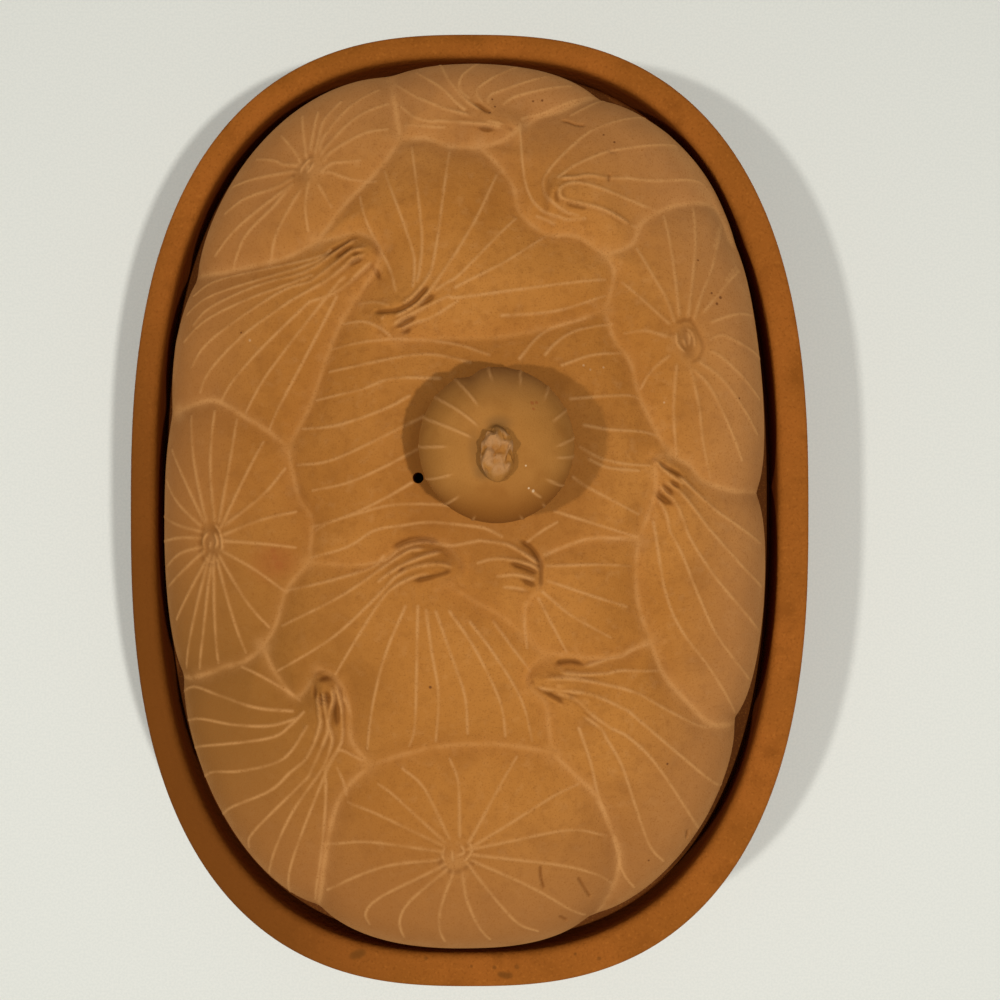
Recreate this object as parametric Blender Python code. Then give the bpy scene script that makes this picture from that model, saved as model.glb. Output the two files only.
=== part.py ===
"""Terracotta onion baker: an oval baking dish, its domed lid shaped as a heap of onions, and the
onion knob that lifts it.

Metres, +Z up, +Y along the dish. The origin is the middle of the dish's flat base.
"""

import math

import bmesh
import bpy
import numpy as np
from mathutils.geometry import delaunay_2d_cdt

# Ovals that the dish and the heap of onions follow: 2 is an ellipse, more is squarer
OVAL_POWER = 2.6
HEAP_POWER = 2.45
RING_POINTS = 96

# Clearances
SEAT_GAP = 0.0003
LID_PLAY = 0.0025

# Dish
DISH_LENGTH = 0.3825
DISH_WIDTH = 0.2725
DISH_HEIGHT = 0.088
DISH_WALL = 0.009
DISH_FLOOR = 0.009
FOOT_ROUND = 0.022
FOOT_INSET = 0.016
WALL_LEAN = 0.006
COLLAR_FLARE = 0.014
COLLAR_HEIGHT = 0.018
RIM_WIDTH = 0.0113
RIM_BAND = 0.014
RIM_ROUND = 0.0035
FLOOR_ROUND = 0.018

# Gallery: the ledge inside the rim that carries the lid
GALLERY_DEPTH = 0.017
GALLERY_WIDTH = 0.013
LEDGE_ROUND = 0.001
MOUTH_SHIFT = (-0.0012, 0.0020)

# Lid
LID_SEAT_WIDTH = 0.0125
FLANGE_HEIGHT = 0.0085
FLANGE_ROUND = 0.0015
LID_WALL = 0.008
HEAP_STEP = 0.0045
BELLY_HEIGHT = 0.0085
HEAP_UNDERCUT = 0.001
SHOULDER_REACH = 0.016
SHOULDER_RISE = 0.014
DOME_RISE = 0.0215
DOME_POWER = 2.3
ONION_RISE = 0.0075
ONION_SPREAD = 0.015
NOTCH_DEPTH = 0.0045
NOTCH_SPREAD = 0.009
NECK_RISE = 0.004
ROOT_RISE = 0.002
PATCH_SPACING = 0.0072

# Knob
KNOB_DIAMETER = 0.0540
KNOB_HEIGHT = 0.036
KNOB_BELLY_HEIGHT = 0.015
KNOB_SKIRT = 0.0025
KNOB_PLACE = (0.0120, 0.0228)
KNOB_LEAN = (0.0005, -0.0050)
KNOB_LOBES = 9
LOBE_DEPTH = 0.0004
TENON_DIAMETER = 0.030
TENON_DEPTH = 0.004
STEM_DIAMETER = 0.016
STEM_TIP_DIAMETER = 0.012
STEM_HEIGHT = 0.0080
STEM_HOLLOW = 0.0012
KNOB_POINTS = 45

# Steam vent, drilled just clear of the knob
VENT_DIAMETER = 0.004
VENT_MARGIN = 0.0020
VENT_BEARING = math.radians(204)

# Where two onions of the heap meet, in hundredths of its half width and half length
CREASES = (
    ((-24, 93), (-22, 86), (-20, 79)),
    ((-20, 79), (-27, 72), (-37, 64), (-46, 56)),
    ((-46, 56), (-56, 53), (-69, 51), (-88, 51)),
    ((-20, 79), (-12, 79), (5, 77)),
    ((5, 77), (17, 81), (32, 86), (45, 91)),
    ((5, 77), (11, 72), (17, 62), (26, 58), (44, 53)),
    ((44, 53), (46, 46), (44, 41)),
    ((44, 41), (30, 38), (11, 35), (-19, 35)),
    ((44, 53), (52, 56), (63, 64), (71, 65), (92, 63)),
    ((44, 41), (46, 35), (54, 23), (63, 11)),
    ((63, 11), (70, 9), (84, 3), (102, 3)),
    ((-46, 56), (-33, 58), (-26, 52), (-33, 43)),
    ((-91, 20), (-78, 23), (-70, 20), (-54, 12)),
    ((-33, 43), (-41, 33), (-47, 21), (-54, 12)),
    ((-54, 12), (-50, 1), (-48, -12)),
    ((-48, -12), (-56, -19), (-62, -30)),
    ((-62, -30), (-75, -35), (-97, -40)),
    ((-48, -12), (-35, -13), (-20, -9), (-4, -9), (0, -13), (-5, -16)),
    ((-5, -16), (2, -20), (11, -22), (19, -21)),
    ((24, -14), (33, -8), (54, -7)),
    ((54, -7), (53, -14), (58, -28)),
    ((58, -28), (49, -31), (25, -31)),
    ((25, -31), (19, -21), (24, -14)),
    ((63, 11), (59, 3), (54, -7)),
    ((-62, -30), (-52, -41), (-44, -34), (-35, -42), (-29, -55)),
    ((-29, -55), (-8, -51), (17, -51), (28, -52)),
    ((25, -31), (20, -37), (26, -46), (28, -52)),
    ((28, -52), (40, -61), (49, -76), (40, -91)),
    ((-29, -55), (-39, -63), (-44, -77), (-50, -94)),
    ((58, -28), (71, -43), (95, -51)),
)

# Necks that lie over their neighbours: base, tip, and half width at each
NECKS = (
    ((-3, 85), (17, 80), 0.008, 0.005),
    ((50, 64), (28, 66), 0.009, 0.007),
    ((-5, 45), (-24, 37), 0.007, 0.007),
    ((-45, 49), (-27, 53), 0.007, 0.006),
    ((-10, -10), (24, -14), 0.010, 0.008),
    ((-23, -12), (-2, -12), 0.007, 0.006),
    ((-46, -53), (-42, -37), 0.008, 0.006),
    ((46, -41), (21, -37), 0.011, 0.005),
    ((71, 0), (59, 9), 0.009, 0.006),
)

# Root ends that face up: centre and radius
ROOTS = (
    ((-49, 72), 0.0044),
    ((69, 35), 0.0055),
    ((-79, -7), 0.0052),
    ((-2, -74), 0.0059),
)

# Levels and half sizes that follow from the sizes above
GALLERY_LEVEL = DISH_HEIGHT - GALLERY_DEPTH
MOUTH_HALF = np.array([DISH_WIDTH / 2 - RIM_WIDTH, DISH_LENGTH / 2 - RIM_WIDTH])
SEAT_LEVEL = GALLERY_LEVEL + SEAT_GAP
FLANGE_HALF = MOUTH_HALF - LID_PLAY
FLANGE_TOP = SEAT_LEVEL + FLANGE_HEIGHT
HEAP_HALF = FLANGE_HALF - HEAP_STEP
HOLLOW_HALF = FLANGE_HALF - LID_SEAT_WIDTH
HEAP_LEVEL = FLANGE_TOP + BELLY_HEIGHT


def clear_scene():
    """Start from an empty scene."""
    for thing in list(bpy.data.objects):
        bpy.data.objects.remove(thing, do_unlink=True)


def clay(name, colour, roughness):
    """Unglazed terracotta in one colour."""
    material = bpy.data.materials.new(name)
    material.use_nodes = True
    shader = material.node_tree.nodes["Principled BSDF"]
    shader.inputs["Base Color"].default_value = (*colour, 1.0)
    shader.inputs["Roughness"].default_value = roughness
    shader.inputs["Metallic"].default_value = 0.0
    material.diffuse_color = (*colour, 1.0)
    return material


def add_object(name, mesh_data, material):
    """Put a finished bmesh into the scene as a smooth shaded object."""
    bmesh.ops.recalc_face_normals(mesh_data, faces=mesh_data.faces)
    mesh = bpy.data.meshes.new(name)
    mesh_data.to_mesh(mesh)
    mesh_data.free()
    mesh.materials.append(material)
    mesh.shade_smooth()
    mesh.set_sharp_from_angle(angle=math.radians(40))
    thing = bpy.data.objects.new(name, mesh)
    bpy.context.collection.objects.link(thing)
    return thing


def ring_skin(rings):
    """A bmesh tube through rings of points, with its loops of vertices."""
    skin = bmesh.new()
    loops = [[skin.verts.new(point) for point in ring] for ring in rings]
    for lower, upper in zip(loops, loops[1:]):
        for here in range(len(lower)):
            after = (here + 1) % len(lower)
            skin.faces.new((lower[here], lower[after], upper[after], upper[here]))
    return skin, loops


def cap(skin, loop):
    """Close a loop with a fan of triangles round its middle."""
    middle = skin.verts.new(sum((v.co for v in loop), loop[0].co * 0) / len(loop))
    for here in range(len(loop)):
        skin.faces.new((loop[here], loop[(here + 1) % len(loop)], middle))


def closed_skin(rings):
    """A closed bmesh through rings of points, with the first and last ring capped."""
    skin, loops = ring_skin(rings)
    cap(skin, loops[0])
    cap(skin, loops[-1])
    return skin


def oval(half, power=OVAL_POWER):
    """Points round the oval with these half sizes, in the XY plane."""
    turn = np.linspace(0, 2 * math.pi, RING_POINTS, endpoint=False)
    across = np.stack([np.cos(turn), np.sin(turn)], axis=1)
    reach = np.sum(np.abs(across) ** power, axis=1) ** (1 / power)
    return across / reach[:, None] * half


def at_height(points, height, shift=(0, 0)):
    """Lift points of the XY plane to a height, which may differ from point to point."""
    level = np.broadcast_to(height, len(points))
    return np.column_stack([points + np.array(shift), level])


def quarter(steps):
    """Angles that divide a quarter turn, both ends included."""
    return [step / steps * math.pi / 2 for step in range(steps + 1)]


def wall_inset(level):
    """How far the dish's outer wall stands inside the rim's edge, without the collar."""
    climb = level / (DISH_HEIGHT - COLLAR_HEIGHT)
    return COLLAR_FLARE + WALL_LEAN * (1 - climb)


def dish_profile():
    """Inset from the rim's edge, height and share of the mouth's shift, from base to floor."""
    profile = []
    for angle in quarter(4):
        level = FOOT_ROUND * (1 - math.cos(angle))
        inset = wall_inset(level) + FOOT_INSET * (1 - math.sin(angle))
        profile.append((inset, level, 0.0))
    collar_foot = DISH_HEIGHT - RIM_BAND - COLLAR_HEIGHT
    profile.append((wall_inset(collar_foot), collar_foot, 0.0))
    collar_steps = 5
    for step in range(1, collar_steps + 1):
        share = step / collar_steps
        level = collar_foot + COLLAR_HEIGHT * share
        ease = share * share * (3 - 2 * share)
        profile.append((wall_inset(level) * (1 - ease), level, 0.0))
    crown = RIM_WIDTH / 2
    for angle in quarter(3):
        level = DISH_HEIGHT - RIM_ROUND * (1 - math.sin(angle))
        profile.append((crown * (1 - math.cos(angle)), level, 0.0))
    for angle in quarter(3)[1:]:
        level = DISH_HEIGHT - RIM_ROUND * (1 - math.cos(angle))
        profile.append((crown * (1 + math.sin(angle)), level, math.sin(angle)))
    profile.append((RIM_WIDTH, GALLERY_LEVEL, 1.0))
    ledge = RIM_WIDTH + GALLERY_WIDTH
    profile.append((ledge - LEDGE_ROUND, GALLERY_LEVEL, 1.0))
    profile.append((ledge, GALLERY_LEVEL - LEDGE_ROUND, 1.0))
    floor_inset = DISH_WALL + wall_inset(DISH_FLOOR)
    inner_foot = DISH_FLOOR + FLOOR_ROUND
    profile.append((DISH_WALL + wall_inset(inner_foot), inner_foot, 0.5))
    for angle in quarter(4)[1:]:
        inset = floor_inset + FLOOR_ROUND * (1 - math.cos(angle))
        profile.append((inset, inner_foot - FLOOR_ROUND * math.sin(angle), 0.0))
    return profile


def make_dish(material):
    """The oval dish with its rounded rim and the gallery that carries the lid."""
    edge = np.array([DISH_WIDTH / 2, DISH_LENGTH / 2])
    rings = []
    for inset, level, share in dish_profile():
        shift = (MOUTH_SHIFT[0] * share, MOUTH_SHIFT[1] * share)
        rings.append(at_height(oval(edge - inset), level, shift))
    return add_object("dish", closed_skin(rings), material)


def run_position(points, start, end):
    """Share of the way along a run and distance from it, for each point."""
    run = end - start
    along = np.clip((points - start) @ run / (run @ run), 0, 1)
    return along, np.linalg.norm(points - start - along[:, None] * run, axis=1)


def distance_to_path(points, path):
    """Distance from each point to a chain of straight runs."""
    runs = zip(path, path[1:])
    return np.min([run_position(points, start, end)[1] for start, end in runs], axis=0)


def on_heap(place):
    """A place in hundredths of the heap's half sizes, in metres from its middle."""
    return np.array(place) / 100 * HEAP_HALF


def crease_paths():
    """Each crease as points in metres from the lid's middle."""
    return [np.array([on_heap(place) for place in crease]) for crease in CREASES]


def crease_distance(points):
    """Distance from each point to the nearest crease between two onions."""
    return np.min([distance_to_path(points, path) for path in crease_paths()], axis=0)


def oval_radius(points, half):
    """0 in the middle of the oval and 1 on its edge."""
    return np.sum(np.abs(points / half) ** HEAP_POWER, axis=1) ** (1 / HEAP_POWER)


def edge_distance(points, half):
    """Distance inwards from the oval's edge, true near the edge."""
    radius = np.maximum(oval_radius(points, half), 1e-6)
    slope = np.abs(points / half / radius[:, None]) ** (HEAP_POWER - 1) / half
    return (1 - radius) / np.maximum(np.linalg.norm(slope, axis=1), 1e-6)


def crown_rise(points):
    """The slow rise of the dome from the heap's edge to its crown."""
    radius = np.minimum(oval_radius(points, HEAP_HALF), 1)
    return DOME_RISE * (1 - radius ** DOME_POWER)


def dome(points, half):
    """Plain dome over an oval, with a rounded shoulder, above the heap's lowest edge."""
    inward = np.clip(edge_distance(points, half) / SHOULDER_REACH, 0, 1)
    return SHOULDER_RISE * np.sqrt(1 - (1 - inward) ** 2) + crown_rise(points)


def onion_relief(points):
    """Height that the swelling onions, their necks and their roots add to the dome."""
    relief = ONION_RISE * (1 - np.exp(-crease_distance(points) / ONION_SPREAD))
    for base, tip, base_half, tip_half in NECKS:
        along, away = run_position(points, on_heap(base), on_heap(tip))
        half = base_half + (tip_half - base_half) * along
        relief = relief + NECK_RISE * along * np.exp(-(away / half) ** 2)
    for centre, radius in ROOTS:
        away = np.linalg.norm(points - on_heap(centre), axis=1)
        relief = relief + ROOT_RISE * np.exp(-(away / radius) ** 2)
    return relief


def heap_height(points):
    """Height of the lid's top above the base, at points measured from the lid's middle."""
    return HEAP_LEVEL + dome(points, HEAP_HALF) + onion_relief(points)


def scalloped_edge():
    """The heap's outline, drawn in where a crease runs over the edge."""
    edge = oval(HEAP_HALF, HEAP_POWER)
    drawn_in = NOTCH_DEPTH * np.exp(-crease_distance(edge) / NOTCH_SPREAD)
    return edge * (1 - drawn_in / np.linalg.norm(edge, axis=1))[:, None]


def lid_rings():
    """Rings of the lid from the middle of its hollow, over its edge, to its shoulder."""
    rings = []
    for share in (0.15, 0.4, 0.6, 0.77, 0.88, 0.95, 0.99, 1.0):
        ring = oval(HOLLOW_HALF * share, HEAP_POWER)
        rings.append((ring, HEAP_LEVEL + dome(ring, HOLLOW_HALF) - LID_WALL))
    rings.append((oval(HOLLOW_HALF, HEAP_POWER), SEAT_LEVEL))
    rings.append((oval(FLANGE_HALF - FLANGE_ROUND), SEAT_LEVEL))
    rings.append((oval(FLANGE_HALF), SEAT_LEVEL + FLANGE_ROUND))
    rings.append((oval(FLANGE_HALF), FLANGE_TOP - FLANGE_ROUND))
    rings.append((oval(FLANGE_HALF - FLANGE_ROUND), FLANGE_TOP))
    edge = scalloped_edge()
    reach = np.linalg.norm(edge, axis=1)[:, None]
    rings.append((edge * (1 - HEAP_UNDERCUT / reach), FLANGE_TOP))
    rings.append((edge, HEAP_LEVEL + onion_relief(edge)))
    for angle in quarter(4)[1:]:
        ring = edge * (1 - SHOULDER_REACH * (1 - math.cos(angle)) / reach)
        level = HEAP_LEVEL + SHOULDER_RISE * math.sin(angle) + onion_relief(ring)
        rings.append((ring, level + crown_rise(ring)))
    return rings


def spaced_along(path, spacing):
    """Points at even steps along a chain of straight runs."""
    marks = []
    for start, end in zip(path, path[1:]):
        count = max(1, round(float(np.linalg.norm(end - start)) / spacing))
        marks.extend(start + (end - start) * step / count for step in range(count))
    marks.append(path[-1])
    return marks


def clear_of(points, others, gap):
    """The points that keep a gap to all the others."""
    away = np.linalg.norm(points[:, None] - others[None], axis=2).min(axis=1)
    return points[away > gap]


def thinned(points, gap):
    """Leave out each point that is close to one before it."""
    kept = []
    for point in points:
        if all(np.linalg.norm(point - other) > gap for other in kept):
            kept.append(point)
    return np.array(kept)


def heap_points(edge):
    """Points of the heap's top inside its shoulder: along creases and necks, then a filling."""
    marks = []
    for path in crease_paths():
        marks.extend(spaced_along(path, PATCH_SPACING))
    for base, tip, _, _ in NECKS:
        marks.extend(spaced_along(np.array([on_heap(base), on_heap(tip)]), PATCH_SPACING))
    marks.extend(on_heap(centre) for centre, _ in ROOTS)
    inside = oval_radius(edge, HEAP_HALF).min() - PATCH_SPACING / HEAP_HALF[0] / 2
    marks = thinned(marks, PATCH_SPACING / 2)
    marks = marks[oval_radius(marks, HEAP_HALF) < inside]
    row_step = PATCH_SPACING * math.sqrt(3) / 2
    rows = int(HEAP_HALF[1] / row_step)
    columns = int(HEAP_HALF[0] / PATCH_SPACING)
    filling = []
    for row in range(-rows, rows + 1):
        for column in range(-columns, columns + 1):
            filling.append(((column + row % 2 / 2) * PATCH_SPACING, row * row_step))
    filling = np.array(filling)
    filling = filling[oval_radius(filling, HEAP_HALF) < inside]
    return np.concatenate([marks, clear_of(filling, marks, PATCH_SPACING * 0.6)])


def close_heap(skin, loop, edge):
    """Fill the loop at the shoulder with the relief of the onions."""
    inner = heap_points(edge)
    flat = [tuple(map(float, point)) for point in np.concatenate([edge, inner])]
    order = list(range(len(edge)))
    places, _, triangles, sources, _, _ = delaunay_2d_cdt(flat, [], [order], 1, 1e-7)
    levels = heap_height(np.array([tuple(place) for place in places]))
    corners = []
    for place, level, source in zip(places, levels, sources):
        if source and source[0] < len(edge):
            corners.append(loop[source[0]])
        else:
            corners.append(skin.verts.new((place[0] + MOUTH_SHIFT[0], place[1] + MOUTH_SHIFT[1], level)))
    for triangle in triangles:
        skin.faces.new([corners[corner] for corner in triangle])


def make_cutter(name, radius, place, low, high):
    """An upright cylinder that only cuts."""
    bpy.ops.mesh.primitive_cylinder_add(vertices=KNOB_POINTS, radius=radius, depth=high - low)
    cutter = bpy.context.object
    cutter.name = name
    cutter.location = (place[0] + MOUTH_SHIFT[0], place[1] + MOUTH_SHIFT[1], (low + high) / 2)
    cutter.hide_render = True
    cutter.display_type = "WIRE"
    return cutter


def cut(thing, cutter):
    """Take the cutter's shape out of an object."""
    boolean = thing.modifiers.new(cutter.name, "BOOLEAN")
    boolean.operation = "DIFFERENCE"
    boolean.solver = "EXACT"
    boolean.object = cutter


def knob_seat_level():
    """Floor of the round recess in the lid that takes the knob's tenon."""
    surface = heap_height(np.array([KNOB_PLACE]))[0]
    return surface - TENON_DEPTH


def vent_place():
    """Middle of the steam vent, beside the knob's belly."""
    away = KNOB_DIAMETER / 2 + VENT_MARGIN + VENT_DIAMETER / 2
    step = away * np.array([math.cos(VENT_BEARING), math.sin(VENT_BEARING)])
    return np.array(KNOB_PLACE) + step


def make_lid(material):
    """The domed lid, with the knob's recess and the steam vent."""
    rings = lid_rings()
    skin, loops = ring_skin([at_height(ring, level, MOUTH_SHIFT) for ring, level in rings])
    cap(skin, loops[0])
    close_heap(skin, loops[-1], rings[-1][0])
    lid = add_object("lid", skin, material)
    above = HEAP_LEVEL + SHOULDER_RISE + DOME_RISE + ONION_RISE + NECK_RISE + ROOT_RISE
    recess_radius = TENON_DIAMETER / 2 + SEAT_GAP
    cut(lid, make_cutter("knob_recess", recess_radius, KNOB_PLACE, knob_seat_level(), above))
    cut(lid, make_cutter("vent_drill", VENT_DIAMETER / 2, vent_place(), SEAT_LEVEL, above))
    return lid


def knob_profile():
    """Radius, height above the tenon's end and lobe depth of the knob."""
    radius = KNOB_DIAMETER / 2
    tenon = TENON_DIAMETER / 2
    stem = STEM_DIAMETER / 2
    skirt = TENON_DEPTH + KNOB_SKIRT
    belly = TENON_DEPTH + KNOB_BELLY_HEIGHT
    top = TENON_DEPTH + KNOB_HEIGHT
    profile = [(tenon, 0.0, 0.0), (tenon, skirt, 0.0)]
    for angle in quarter(5)[1:]:
        out = tenon + (radius - tenon) * math.sin(angle)
        profile.append((out, belly - (belly - skirt) * math.cos(angle), LOBE_DEPTH * math.sin(angle)))
    for angle in quarter(7)[1:]:
        out = stem + (radius - stem) * math.cos(angle)
        profile.append((out, belly + (top - belly) * math.sin(angle), LOBE_DEPTH * math.cos(angle)))
    tip = STEM_TIP_DIAMETER / 2
    profile.append(((stem + tip) / 2, top + STEM_HEIGHT / 2, 0.0))
    profile.append((tip, top + STEM_HEIGHT, 0.0))
    profile.append((tip / 2, top + STEM_HEIGHT - STEM_HOLLOW, 0.0))
    return profile


def make_knob(material):
    """The small onion luted into the lid, with the broken end of its stem on top."""
    turn = np.linspace(0, 2 * math.pi, KNOB_POINTS, endpoint=False)
    around = np.stack([np.cos(turn), np.sin(turn)], axis=1)
    middle = np.array(KNOB_PLACE) + np.array(MOUTH_SHIFT)
    floor = knob_seat_level() + SEAT_GAP
    rings = []
    for radius, level, lobe in knob_profile():
        swell = radius + lobe * np.cos(KNOB_LOBES * turn)
        lean = max(level - TENON_DEPTH, 0.0) / KNOB_HEIGHT
        shift = middle + np.array(KNOB_LEAN) * lean ** 1.5
        rings.append(at_height(around * swell[:, None], floor + level, shift))
    return add_object("knob", closed_skin(rings), material)


def main():
    clear_scene()
    make_dish(clay("dish_terracotta", (0.42, 0.16, 0.055), 0.62))
    make_lid(clay("lid_terracotta", (0.47, 0.21, 0.085), 0.72))
    make_knob(clay("knob_terracotta", (0.47, 0.20, 0.075), 0.70))


main()
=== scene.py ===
"""The terracotta onion baker as it was photographed: from straight above, on a pale table.

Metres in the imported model's frame, +Z up and +Y along the dish. The relief of the lid is drawn
in millimetres from the middle of the lid, with y towards the top of the photograph.
"""

import math

import bmesh
import bpy
import numpy as np
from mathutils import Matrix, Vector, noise


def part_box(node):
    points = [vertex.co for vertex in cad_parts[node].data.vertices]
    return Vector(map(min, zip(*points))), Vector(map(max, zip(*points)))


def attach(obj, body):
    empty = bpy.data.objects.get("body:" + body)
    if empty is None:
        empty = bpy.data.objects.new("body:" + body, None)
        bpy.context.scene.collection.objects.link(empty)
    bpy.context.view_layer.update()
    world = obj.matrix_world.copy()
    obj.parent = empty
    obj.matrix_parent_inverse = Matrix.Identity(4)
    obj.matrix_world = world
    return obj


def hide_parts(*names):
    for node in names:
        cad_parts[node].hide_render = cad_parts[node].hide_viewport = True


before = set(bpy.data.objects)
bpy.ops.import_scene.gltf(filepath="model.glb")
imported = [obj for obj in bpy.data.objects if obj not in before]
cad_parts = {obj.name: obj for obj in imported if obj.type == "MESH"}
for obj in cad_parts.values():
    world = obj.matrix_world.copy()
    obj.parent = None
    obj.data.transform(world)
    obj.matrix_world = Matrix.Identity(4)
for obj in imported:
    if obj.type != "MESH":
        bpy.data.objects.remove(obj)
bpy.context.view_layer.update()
bpy.ops.object.select_all(action="DESELECT")
bpy.context.scene.view_settings.view_transform = "Standard"


# The table is a pale matt worktop. It carries the pot and takes its shadows, and isn't part
# of it.
TABLE_SIZE = 6.0
TABLE_COLOUR = (0.765, 0.765, 0.690)
TABLE_MARKS = (0.725, 0.730, 0.660)


def new_finish(name, roughness, shine=0.5):
    """A material with this roughness and shine, its node tree and its shader."""
    finish = bpy.data.materials.new(name)
    finish.use_nodes = True
    shader = finish.node_tree.nodes["Principled BSDF"]
    shader.inputs["Roughness"].default_value = roughness
    shader.inputs["Specular IOR Level"].default_value = shine
    return finish, finish.node_tree, shader


def mottle(tree, scale, detail=2.0):
    """Noise on the object's own coordinates, with about this many blots to the metre."""
    place = tree.nodes.new("ShaderNodeTexCoord")
    blots = tree.nodes.new("ShaderNodeTexNoise")
    blots.inputs["Scale"].default_value = scale
    blots.inputs["Detail"].default_value = detail
    tree.links.new(place.outputs["Object"], blots.inputs["Vector"])
    return blots.outputs["Fac"]


def between(tree, value, low, high, lowest=0.0, highest=1.0):
    """Stretch the part of a value between two levels, and hold it there."""
    stretch = tree.nodes.new("ShaderNodeMapRange")
    stretch.interpolation_type = "SMOOTHSTEP"
    tree.links.new(value, stretch.inputs["Value"])
    for socket, level in zip(("From Min", "From Max", "To Min", "To Max"), (low, high, lowest, highest)):
        stretch.inputs[socket].default_value = level
    return stretch.outputs["Result"]


def blend(tree, share, first, second):
    """A colour that goes from the first to the second. Each is a colour or a socket."""
    mix = tree.nodes.new("ShaderNodeMix")
    mix.data_type = "RGBA"
    tree.links.new(share, mix.inputs["Factor"])
    for socket, colour in (("A", first), ("B", second)):
        slot = [entry for entry in mix.inputs if entry.name == socket and entry.type == "RGBA"][0]
        if isinstance(colour, tuple):
            slot.default_value = (*colour, 1.0)
        else:
            tree.links.new(colour, slot)
    return [entry for entry in mix.outputs if entry.type == "RGBA"][0]


def roughen(tree, shader, height, depth, strength):
    """Raise the surface's light and shade by a value, as bumps of this depth."""
    bump = tree.nodes.new("ShaderNodeBump")
    bump.inputs["Strength"].default_value = strength
    bump.inputs["Distance"].default_value = depth
    tree.links.new(height, bump.inputs["Height"])
    tree.links.new(bump.outputs["Normal"], shader.inputs["Normal"])


table_finish, tree, shader = new_finish("table_top", roughness=0.75)
cloud = between(tree, mottle(tree, 900.0, 3.0), 0.35, 0.65)
tree.links.new(blend(tree, cloud, TABLE_COLOUR, TABLE_MARKS), shader.inputs["Base Color"])
bpy.ops.mesh.primitive_plane_add(size=TABLE_SIZE)
table = bpy.context.object
table.name = "table"
table.data.materials.append(table_finish)


# Two small lamps stand left and right of the table, a little towards its near side. The rest
# of the light is the pale room's.
ROOM_SHARE = 0.24
ROOM_COLOUR = (0.80, 0.79, 0.74)
LAMP_WIDTH = 0.05
LEFT_LAMP = ((-0.518, -0.127, 1.200), 0.37)
RIGHT_LAMP = ((0.450, -0.230, 1.400), 0.50)
LIT_LEVEL = 0.088

room = bpy.data.worlds.new("room")
room.use_nodes = True
bpy.context.scene.world = room
tree = room.node_tree
soft_light = tree.nodes["Background"]
soft_light.inputs["Color"].default_value = (1.0, 1.0, 1.0, 1.0)
soft_light.inputs["Strength"].default_value = ROOM_SHARE
walls = tree.nodes.new("ShaderNodeBackground")
walls.inputs["Color"].default_value = (*ROOM_COLOUR, 1.0)
walls.inputs["Strength"].default_value = 1.0
seen = tree.nodes.new("ShaderNodeLightPath")
seen_sum = seen.outputs["Is Camera Ray"]
for ray in ("Is Glossy Ray", "Is Transmission Ray"):
    either = tree.nodes.new("ShaderNodeMath")
    either.operation = "MAXIMUM"
    tree.links.new(seen_sum, either.inputs[0])
    tree.links.new(seen.outputs[ray], either.inputs[1])
    seen_sum = either.outputs["Value"]
choose = tree.nodes.new("ShaderNodeMixShader")
tree.links.new(seen_sum, choose.inputs["Fac"])
tree.links.new(soft_light.outputs["Background"], choose.inputs[1])
tree.links.new(walls.outputs["Background"], choose.inputs[2])
tree.links.new(choose.outputs["Shader"], tree.nodes["World Output"].inputs["Surface"])


def hang_lamp(name, place, share):
    """A lamp aimed at the pot, which gives this share of the light on a level surface."""
    reach = math.dist(place, (0, 0, LIT_LEVEL))
    drop = place[2] - LIT_LEVEL
    bpy.ops.object.light_add(type="AREA", location=place)
    lamp = bpy.context.object
    lamp.name = name
    lamp.rotation_euler = (math.acos(drop / reach), 0, math.atan2(place[0], -place[1]))
    lamp.data.size = LAMP_WIDTH
    lamp.data.energy = share * math.pi ** 2 * reach ** 3 / drop


hang_lamp("lamp_left", *LEFT_LAMP)
hang_lamp("lamp_right", *RIGHT_LAMP)


# The camera looks straight down. The rim's middle is a little left of and below the middle
# of the view, as in the photograph.
CAMERA_PLACE = (0.0122, 0.0042, 0.528)
CAMERA_LENS = 39.6
CAMERA_CHIP = 36.0

bpy.ops.object.camera_add(location=CAMERA_PLACE, rotation=(0, 0, 0))
camera = bpy.context.object
camera.data.lens = CAMERA_LENS
camera.data.sensor_width = CAMERA_CHIP
bpy.context.scene.camera = camera


# The dish is one oval wall and floor of pressed terracotta, with a rounded rim. Inside the
# rim a ledge, the gallery, carries the lid. It is smoother and redder than the lid.
OVAL_POWER = 2.6
DISH_POINTS = 288
DISH_WALL = 0.009
DISH_FLOOR = 0.009
FOOT_ROUND = 0.022
FOOT_INSET = 0.016
WALL_LEAN = 0.006
COLLAR_FLARE = 0.014
COLLAR_HEIGHT = 0.018
RIM_WIDTH = 0.0113
RIM_BAND = 0.014
RIM_OUTER_ROUND = 0.0022
RIM_INNER_ROUND = 0.0030
RIM_CROWN = 0.0004
FLOOR_ROUND = 0.018
GALLERY_DEPTH = 0.017
GALLERY_WIDTH = 0.013
LEDGE_ROUND = 0.001
DISH_CLAY = (0.270, 0.083, 0.0105)
DISH_DARK = (0.190, 0.055, 0.006)
DISH_WARM = (0.320, 0.096, 0.013)
DISH_FLECK = (0.385, 0.125, 0.018)
DISH_SPOT = (0.145, 0.048, 0.007)
DISH_SHADE = (0.135, 0.041, 0.0055)
DISH_GAP_SHADE = (0.150, 0.030, 0.0035)
DISH_SHADED_SIDE = (-6.6, -2.2)
DISH_SMOOTH = 35
GAP_SHADE_FADE = 0.004
GAP_SHADE_LIP = 0.003

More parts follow.
